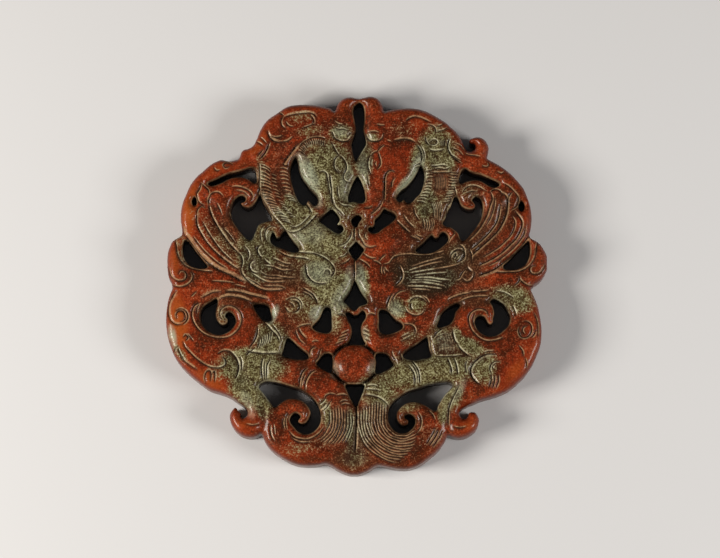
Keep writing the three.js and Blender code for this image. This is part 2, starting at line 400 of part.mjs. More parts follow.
// A wheel-cut groove: a three-cornered bar laid along the line, shallow at both ends.
function groove(points, half, depth) {
  const proud = 0.07;
  const endShare = 0.35;
  const places = [];
  const faces = [0, 2, 1];
  const last = points.length - 1;
  points.forEach((p, i) => {
    const a = points[Math.max(0, i - 1)];
    const b = points[Math.min(last, i + 1)];
    const across = new THREE.Vector2(a.y - b.y, b.x - a.x).normalize();
    const share = i === 0 || i === last ? endShare : 1;
    const w = half * (0.4 + 0.6 * share);
    places.push(p.x + across.x * w, p.y + across.y * w, THICK + proud);
    places.push(p.x - across.x * w, p.y - across.y * w, THICK + proud);
    places.push(p.x, p.y, THICK - depth * share);
  });
  for (let s = 0; s < last * 3; s += 3)
    for (const [u, v] of [[0, 1], [1, 2], [2, 0]])
      faces.push(s + u, s + 3 + v, s + 3 + u, s + u, s + v, s + 3 + v);
  faces.push(last * 3, last * 3 + 1, last * 3 + 2);
  return solid(indexed(places, faces));
}

function arc(x, y, rx, ry, from, to, step) {
  const count = Math.max(4, Math.ceil(Math.abs(to - from) / step));
  return Array.from({ length: count + 1 }, (_, i) => {
    const t = THREE.MathUtils.degToRad(from + ((to - from) * i) / count);
    return new THREE.Vector2(x + rx * Math.cos(t), y + ry * Math.sin(t));
  });
}

// The bead stands in a bed let into the face: a dome over its middle, cut flat under it.
function beadSolids() {
  const bed = new THREE.CylinderGeometry(1, 1, SEAT.top - SEAT.floor, 24).rotateX(Math.PI / 2);
  bed.scale(BEAD.rx + SEAT.clearance, BEAD.ry + SEAT.clearance, 1);
  bed.translate(BEAD.x, BEAD.y, (SEAT.top + SEAT.floor) / 2);
  const dome = new THREE.SphereGeometry(1, 24, 12).rotateX(Math.PI / 2);
  dome.scale(BEAD.rx, BEAD.ry, BEAD.top - BEAD.middle);
  dome.translate(BEAD.x, BEAD.y, BEAD.middle);
  const above = new THREE.BoxGeometry(4 * BEAD.rx, 4 * BEAD.ry, BEAD.top);
  above.translate(BEAD.x, BEAD.y, SEAT.floor / 2 + BEAD.top / 2);
  return [solid(bed), solid(dome).intersect(solid(above))];
}

function carved() {
  const [bed, dome] = beadSolids();
  let disc = solid(slab()).subtract(bed).add(dome);
  for (const [half, depth, text] of cuts)
    disc = disc.subtract(groove(read(text), half, depth));
  for (const [half, depth, x, y, r, from, to] of rounds)
    disc = disc.subtract(groove(arc(x, y, r, r, from, to, 28), half, depth));
  for (const eye of EYES)
    disc = disc.subtract(groove(arc(eye.x, eye.y, eye.rx, eye.ry, 20, 340, 40), eye.half, eye.depth));
  for (const d of FOOT_DISCS)
    for (let k = 0; k < d.rings; k++) {
      const r = d.first + k * d.pitch;
      disc = disc.subtract(groove(arc(d.x, d.y, r, r, d.from - 6 * k, d.to - 5 * k, 24), d.half, d.depth));
    }
  const mesh = disc.getMesh();
  const places = Array.from({ length: mesh.numVert }, (_, i) =>
    Array.from(mesh.vertProperties.slice(i * mesh.numProp, i * mesh.numProp + 3)),
  );
  return indexed(places.flat(), Array.from(mesh.triVerts));
}

const disc = new THREE.Mesh(carved(), new THREE.MeshStandardMaterial(JADE));
disc.name = "openwork_disc";
const carving = new THREE.Group();
carving.name = "jade_carving";
carving.add(disc);
export default carving;
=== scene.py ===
"""Jade carving: an openwork disc with two crested birds, lying on a pale table.

The CAD disc gives the place and the size. This script dresses it: one closed mesh whose
face carries the fine relief (wheel cut lines, hatching, swelling forms), with a polished,
mottled red and olive stone for a material. Lengths in the text blocks are millimetres,
the disc's middle at 0,0 and +Y towards the cord slot, as in the CAD source.
"""
import math

import bmesh
import bpy
import numpy as np
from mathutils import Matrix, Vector, geometry, kdtree, noise


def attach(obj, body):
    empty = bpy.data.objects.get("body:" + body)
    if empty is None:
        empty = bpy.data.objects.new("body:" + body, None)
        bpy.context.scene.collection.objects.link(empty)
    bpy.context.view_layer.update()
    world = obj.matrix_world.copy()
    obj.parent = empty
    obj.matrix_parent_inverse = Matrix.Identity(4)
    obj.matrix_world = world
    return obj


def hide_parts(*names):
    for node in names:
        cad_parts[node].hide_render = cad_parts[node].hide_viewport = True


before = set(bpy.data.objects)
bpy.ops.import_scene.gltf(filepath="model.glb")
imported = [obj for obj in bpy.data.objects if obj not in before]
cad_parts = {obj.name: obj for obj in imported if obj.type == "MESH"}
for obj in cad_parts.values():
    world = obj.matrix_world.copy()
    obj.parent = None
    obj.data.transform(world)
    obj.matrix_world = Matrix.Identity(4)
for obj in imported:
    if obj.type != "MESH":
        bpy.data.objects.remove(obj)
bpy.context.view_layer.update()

MM = 0.001

RIM_TOP_LEFT = """0.3,29.45 -0.3,29.55 -1,29.7 -2,29.5 -2.7,29.0 -3.1,28.4 -3.4,27.6
  -3.6,27.45 -4.2,27.9 -5,28.1 -6,28.3 -8,28.5 -10,28.4 -11,28.15 -11.7,27.75 -12.6,27.1 -13.9,26.2
  -14.6,25.4 -15.2,24.4 -15.6,23.4 -15.9,22.7 -16.3,22.0 -17.1,21.5 -17.8,21.35 -18.15,21.0
  -18.35,20.4 -18.6,19.85 -19.2,19.65 -20,19.5 -21.4,19.7 -22.2,19.4 -23,18.95 -24.3,17.8"""
SHOULDER_LEFT = """-25,17.2 -25.6,16.5 -26.2,15.6 -26.8,14.2 -27.3,13 -27.6,11.5 -27.6,10
  -27.4,8.6 -27.5,7.8 -28.2,7.3 -28.9,6.8 -29.3,6.0 -29.6,5 -29.7,3.5 -29.6,2 -29.4,1.0 -29.0,0.2"""
CHEEK_LEFT = """-28.9,-0.7 -29.1,-1.2 -29.5,-2.4 -29.75,-4 -29.85,-5.6 -29.75,-7 -29.5,-8.5
  -29.0,-10 -28.6,-11 -28.0,-12 -27.2,-13 -26.2,-14 -25.4,-14.7 -24.5,-15.4 -22.9,-16.5 -21,-17.1
  -20,-17.5 -19.2,-18"""
HOOK_LEFT = """-18.5,-18.5 -17.6,-19.1 -17.1,-19.8 -17.05,-20.3 -17.3,-20.75 -17.8,-20.95
  -18.15,-20.7 -18.1,-20.2 -18.45,-19.95 -18.7,-19.5 -19.0,-19.3 -19.4,-19.7 -19.75,-20.3 -19.8,-21
  -19.6,-21.8 -19.2,-22.5 -18.6,-23.2 -17.7,-23.75 -16.5,-24.0 -15.7,-23.85"""
DISC_LEFT = """-14.9,-23.5 -14.4,-24.4 -13.9,-25.2 -13.3,-25.9 -12,-26.9 -11,-27.5 -10,-28.0
  -9,-28.3 -8,-28.4 -7,-28.4 -6,-28.3 -4.9,-28.1 -4,-28.4 -3,-29 -1.8,-29.55 -0.9,-29.8"""
DISC_RIGHT = """0.3,-29.75 1.3,-29.4 2.0,-29.05 2.7,-28.6 3.3,-28.4 4,-28.45 5,-28.65 6,-28.85
  7,-28.95 8,-28.9 9.3,-28.5 10.2,-28 11,-27.4 12,-26.6 12.7,-25.9 13.3,-25.1 13.8,-24.3"""
HOOK_RIGHT = """14.1,-23.75 14.7,-23.85 15.3,-24.0 16.1,-24.05 17,-23.85 17.8,-23.4 18.5,-22.8
  18.9,-22.0 19.0,-21.2 18.8,-20.6 18.4,-20.1 17.9,-20.0 17.45,-20.15 17.3,-20.6 17.0,-21.0
  16.5,-21.05 16.1,-20.7 15.95,-20.1 16.3,-19.5 16.9,-19.15 17.5,-18.85 18.2,-18.6"""
CHEEK_RIGHT = """19.3,-18.1 20.6,-17.75 22,-17.3 23.2,-16.8 24.3,-16.1 25.3,-15.2 26.2,-14.3
  27.0,-13.2 27.6,-12.2 28.1,-11 28.5,-10 28.75,-8.9 28.85,-7.5 28.75,-6 28.5,-4.5 28.2,-3.2
  27.8,-2.2 27.45,-1.4"""
SHOULDER_RIGHT = """27.2,-0.7 27.6,-0.1 28.2,0.3 28.8,0.8 29.3,1.5 29.75,2.4 29.85,3.4
  29.75,4.4 29.35,5.3 28.8,6.2 28.0,6.9 27.25,7.3 27.0,7.75 27.2,8.7 27.35,10 27.35,11 27.2,12.1
  26.95,13.1 26.6,14 26.2,15 25.5,16 24.8,16.8"""
RIM_TOP_RIGHT = """24,17.6 23,18.4 22,19.05 21,19.6 20.45,19.95 20.5,20.6 20.65,21.2 20.65,21.8
  20.45,22.3 20.1,22.8 19.6,23.2 19.0,23.35 18.4,23.25 17.85,23.0 17.65,22.65 17.9,22.35
  18.4,22.3 18.65,21.9 18.45,21.3 17.9,21.05 17.3,21.2 16.9,21.7 16.65,22.3 16.3,23.1 15.75,23.9
  15.2,24.5 14.6,25.0 14,25.6 13,26.25 12,26.85 11,27.35 10,27.7 9,27.9 8,27.95 6.5,27.85
  5.5,27.7 4.7,27.5 4.25,27.45 4.1,27.9 3.95,28.4 3.7,28.9 3.3,29.4 2.7,29.7 2.0,29.8 1.2,29.65"""

# The openings between the birds, wings and tails
OPENINGS = {
    "cord_slot": """0.35,28.75 -0.1,28.5 -0.45,28.1 -0.6,27.4 -0.5,26.6 -0.3,25.6 -0.15,24.6 -0.5,23.3
    -0.85,22.2 -0.75,21.4 -0.5,20.3 -0.15,19.6 0.3,20.3 0.8,21.1 1.4,22.2 1.35,23.0 1.0,24.4
    1.1,25.6 1.15,26.8 1.05,28.0 0.8,28.55""",
    "between_beaks": """0.1,17.0 -0.3,16.6 -0.7,15.9 -1.2,14.5 -1.4,13.7 -1.3,13.05 -0.5,13.1 0.2,12.9
    1.0,12.95 1.3,13.4 1.25,14.2 1.1,15.0 0.8,15.9 0.45,16.6""",
    "under_beaks": """-0.9,10.1 -0.4,10.7 0.2,10.9 0.75,10.5 0.3,9.8 -0.1,9.1 -0.5,9.2 -0.8,9.6""",
    "breast_diamond": """-0.1,6.7 -0.7,6.2 -1.3,5.4 -1.05,4.9 -0.6,4.2 -0.15,3.9 0.4,4.4 0.8,5.0
    1.1,5.5 0.4,6.3""",
    "breast_tall": """-0.4,0.4 -0.8,-0.5 -1.15,-1.2 -1.65,-1.9 -2.1,-2.6 -1.6,-3.1 -1.15,-3.6 -0.6,-4.05
    -0.15,-4.0 0.35,-3.45 1.0,-3.2 1.5,-3.0 1.6,-2.6 0.95,-1.7 0.5,-1.0 0.1,-0.2""",
    "above_bead": """-1.8,-4.5 -1.6,-5.1 -1.3,-5.8 -0.9,-6.6 -0.75,-7.3 -0.85,-8.0 -1.1,-8.7 -1.4,-9.3
    -0.5,-9.45 0.5,-9.45 1.3,-9.4 1.05,-8.8 0.75,-8.1 0.6,-7.4 0.6,-6.7 0.85,-6.0 1.2,-5.5
    1.4,-4.9 1.25,-4.4 0.9,-4.15 0.5,-4.4 0.2,-4.75 -0.5,-4.85 -1.1,-4.5""",
    "below_bead": """-1.8,-15.8 -0.3,-15.7 1.15,-15.75 1.05,-16.5 0.7,-17.4 0.3,-18.3 -0.1,-19.0
    -0.8,-18.2 -1.4,-17.0""",
    "behind_head_left": """-9.6,19.9 -10.2,19 -10.45,18 -10.4,17 -10.2,16 -9.8,14.6 -9.4,13.6 -9.0,13.0
    -8.5,12.6 -8.1,12.6 -7.6,13.3 -7.2,12.9 -6.8,12.5 -6.35,12.6 -6.1,13.2 -6.3,13.9 -6.7,14.4
    -7.3,15.0 -7.9,15.8 -8.5,16.6 -9.1,18.0 -9.25,19.0""",
    "behind_head_right": """10.0,18.6 10.4,18 10.55,17.2 10.5,16.2 10.25,15.2 9.9,14.4 9.3,13.8 8.8,13.2
    8.2,12.85 7.7,13.0 7.3,13.45 7.0,13.15 6.6,13.1 6.3,13.3 6.15,13.7 6.4,14.2 6.9,14.8 7.6,15.3
    8.3,16.0 9.0,16.9 9.5,17.8""",
    "rim_gap_left": """-23.4,15.9 -22,16.6 -21,17.1 -20,17.5 -18,18.0 -16.6,18.4 -16.0,18.1 -15.8,17.3
    -15.8,16.1 -16.3,16.1 -17,16.6 -18.0,16.95 -19.0,16.95 -20.0,16.7 -21.4,16.0 -22.8,15.6""",
    "rim_gap_right": """16.2,17.4 16.5,18.0 17.0,18.2 17.7,17.8 18.5,17.5 19.3,17.35 20.3,16.95 21.3,16.5
    22.1,16.1 22.35,15.75 21.6,15.35 20.9,15.5 20.2,15.9 19.3,16.4 18.3,16.5 17.2,16.3 16.4,16.0
    16.0,16.2""",
    "wing_left": """-19.5,12.8 -19.8,11.3 -19.4,10 -18.6,8.8 -17.8,7.8 -17.2,7.2 -16.5,7.1 -16.0,8.1
    -15.4,9.4 -14.2,9.95 -13.4,10.1 -13.4,10.7 -14.0,11.8 -14.7,12.9 -15.2,14.0 -15.7,13.3
    -16.4,12.4 -17.0,12.1 -17.6,12.2 -18.2,12.8 -17.6,13.1 -17.45,13.6 -17.8,13.95 -18.4,13.9
    -19.1,13.4""",
    "wing_right": """19.2,13.6 19.6,12.8 19.7,12 19.6,11.2 19.35,10.2 18.9,9.4 18.3,8.6 17.7,7.9
    17.2,7.3 16.5,6.95 16.1,7.4 15.9,8.0 15.3,8.6 14.6,9.05 13.9,9.2 13.45,9.6 13.9,10.7 14.2,11.6
    14.7,12.3 14.95,13.1 15.4,13.8 15.8,13.6 16.1,12.9 16.4,12.4 17.0,12.0 17.7,11.85 18.3,11.95
    18.55,12.4 18.35,12.9 18.05,13.3 18.5,13.8""",
    "crescent_left": """-27.0,6.9 -26.5,6.8 -25.7,5.9 -25.2,5.2 -24.1,3.8 -23.4,2.75 -24.6,2.55 -25.4,2.7
    -26.2,3.1 -26.9,3.9 -27.25,5.0 -27.25,6.1""",
    "crescent_right": """26.9,6.8 26.4,6.5 25.6,5.7 24.8,4.9 23.8,3.9 22.9,3.0 23.0,2.5 23.8,2.35
    24.8,2.4 25.6,2.65 26.4,3.2 26.9,4.2 27.1,5.3 27.05,6.2""",
    "drilled_left": """-25.5,13.75 -25.8,13.4 -25.85,12.9 -25.65,12.5 -25.35,12.5 -25.15,12.9 -25.2,13.4""",
    "drilled_right": """25.8,13.1 25.4,12.7 25.35,12.1 25.6,11.65 26.0,11.65 26.25,12.1 26.2,12.7""",
    "neck_curl_left": """-13.6,7.4 -13.2,8.15 -12.9,7.9 -12.6,7.35 -12.1,7.5 -11.8,8.0 -11.2,8.4
    -10.7,7.8 -10,6.8 -9.2,5.8 -9.1,5.3 -10,5.1 -11.5,5.6 -13,6.2 -13.5,6.7""",
    "neck_curl_right": """11.7,7.7 11.2,7.4 10.4,6.6 9.7,6.0 9.15,5.5 9.4,5.1 10.3,4.95 11.5,5.0 12.7,5.5
    13.6,6.2 14.25,6.9 14.3,7.5 13.9,8.0 13.4,8.15 13.05,7.9 12.7,7.35 12.2,7.3""",
    "under_beak_left": """-6.0,10.1 -5.4,10.8 -4.7,11.4 -4.0,11.85 -3.1,11.1 -2.7,10.2 -3.1,9.4 -2.45,9.35
    -2.1,8.7 -2.6,8.1 -3.2,8.1 -4.2,8.7 -5.4,9.6""",
    "under_beak_right": """4.2,11.85 4.9,11.6 5.7,11.3 6.15,10.8 6.0,10.4 5.5,9.9 4.7,9.3 4.0,8.8 3.4,8.3
    2.8,8.1 2.2,8.2 1.75,8.6 1.9,9.0 2.5,9.05 2.75,9.5 2.8,10.2 3.4,10.8 3.8,11.3""",
    "tail_scroll_left": """-21.9,-2.3 -23.0,-2.9 -23.7,-3.3 -24.2,-3.9 -24.45,-5.0 -24.2,-6.2 -23.3,-7.3
    -21.8,-7.9 -20.2,-7.5 -19.2,-6.5 -18.95,-5.7 -19.3,-4.8 -19.8,-4.4 -20.3,-4.5 -20.6,-5.0
    -20.2,-5.5 -20.3,-6.1 -20.8,-6.4 -21.4,-6.2 -22.0,-5.3 -22.05,-4.1 -21.8,-3.0""",
    "tail_scroll_right": """20.8,-2.7 21.2,-2.35 21.9,-2.5 22.6,-2.9 23.1,-3.4 23.5,-4.1 23.9,-5.0
    23.85,-5.8 23.5,-6.6 22.8,-7.3 22.0,-7.9 21.1,-8.15 20.1,-8.0 19.1,-7.4 18.6,-6.7 18.4,-5.9
    18.65,-5.2 19.1,-5.0 19.8,-5.1 20.2,-5.6 20.5,-6.1 20.9,-6.3 21.25,-5.9 21.25,-5.4 21.45,-4.7
    21.35,-3.9 21.1,-3.2""",
    "thigh_left": """-16.2,-3.2 -15.2,-3.1 -13.9,-3.4 -13.5,-4.4 -13.4,-5.6 -14.5,-5.7 -15.4,-4.8
    -16.0,-3.8""",
    "thigh_right": """15.6,-3.05 16.15,-3.15 15.9,-3.7 15.4,-4.3 15.2,-5.0 15.0,-5.6 14.6,-6.15
    13.9,-6.5 13.0,-6.75 12.5,-6.65 12.65,-6.1 12.9,-5.5 13.2,-4.7 13.7,-4.1 14.5,-3.5""",
    "fan_left": """-10.9,-8.5 -10.2,-8.8 -9,-9.9 -7.6,-11.1 -7.65,-11.6 -9,-11.8 -10.4,-11.6 -11.7,-11.1
    -11.5,-10.3 -11.2,-9.2""",
    "fan_right": """10.9,-8.35 10.3,-8.7 9.3,-9.4 8.3,-10.0 7.4,-10.7 7.15,-11.15 7.5,-11.6 8.3,-11.8
    9.1,-11.9 10.2,-11.7 11.1,-11.5 11.6,-11.2 11.4,-10.5 11.2,-9.6 11.1,-8.8""",
    "leg_left": """-4.9,-3.65 -4.2,-3.8 -4.0,-5.0 -3.95,-6.2 -4.0,-7.1 -4.4,-7.55 -5.1,-7.6 -6.4,-7.25
    -7.0,-6.7 -6.4,-6.0 -5.8,-5.3 -5.4,-4.4""",
    "leg_right": """3.6,-4.05 4.3,-4.05 4.9,-4.3 5.4,-4.9 6.1,-5.6 6.9,-6.05 7.2,-6.5 7.0,-6.95 6.2,-7.4
    5.2,-7.75 4.2,-7.75 3.6,-7.4 3.4,-6.6 3.45,-5.5 3.4,-4.5""",
    "beside_bead_left": """-5.1,-10.95 -4.0,-11.0 -3.8,-12.0 -3.85,-13.0 -4.05,-13.8 -5.3,-13.3
    -6.3,-12.5 -5.7,-11.6""",
    "beside_bead_right": """3.0,-10.9 4.0,-10.85 4.8,-11.1 5.3,-11.9 5.7,-12.6 5.2,-13.1 4.3,-13.6
    3.4,-14.0 2.9,-13.8 2.9,-13.0 3.0,-12.2 2.85,-11.5""",
    "foot_scroll_left": """-15.3,-16.0 -14.5,-15.35 -13,-15.3 -12,-15.5 -11,-15.8 -10,-16.1 -9,-16.4
    -8.2,-16.9 -7.5,-17.4 -6.8,-18.0 -6.2,-18.8 -5.8,-19.8 -5.65,-21.2 -5.9,-22.1 -6.6,-22.95
    -7.5,-23.4 -8.3,-23.4 -9.1,-23.1 -9.8,-22.4 -10.35,-21.6 -10.4,-21.0 -9.95,-20.4 -9.4,-20.25
    -8.8,-20.75 -9.2,-21.5 -8.6,-21.9 -8.0,-21.7 -7.4,-20.9 -7.2,-20.1 -7.6,-19.2 -8.5,-18.3
    -10,-17.9 -11.0,-18.05 -11.9,-18.6 -12.8,-19.2 -13.5,-18.5 -14.4,-17.3""",
    "foot_scroll_right": """14.2,-15.35 13.2,-15.4 12.0,-15.6 11.0,-15.8 10.2,-16.1 9.2,-16.4 8.3,-16.65
    7.3,-17.15 6.5,-17.75 5.8,-18.4 5.2,-19.1 4.95,-19.8 4.85,-20.8 5.0,-21.7 5.4,-22.5 6.1,-23.1
    7.0,-23.35 7.9,-23.15 8.7,-22.5 9.05,-21.8 9.0,-21.1 8.6,-20.6 8.05,-20.45 7.5,-20.6
    7.45,-20.95 7.95,-21.3 7.95,-21.9 7.5,-22.15 7.0,-22.1 6.5,-21.7 6.2,-21.0 6.2,-20.2 6.6,-19.5
    7.2,-18.95 8.0,-18.55 9.0,-18.4 9.8,-18.6 10.5,-18.9 11.2,-19.3 12.0,-19.8 12.4,-19.7
    12.6,-19.1 13.1,-18.2 13.8,-17.2 14.5,-16.45 14.9,-15.95 14.75,-15.55""",
}

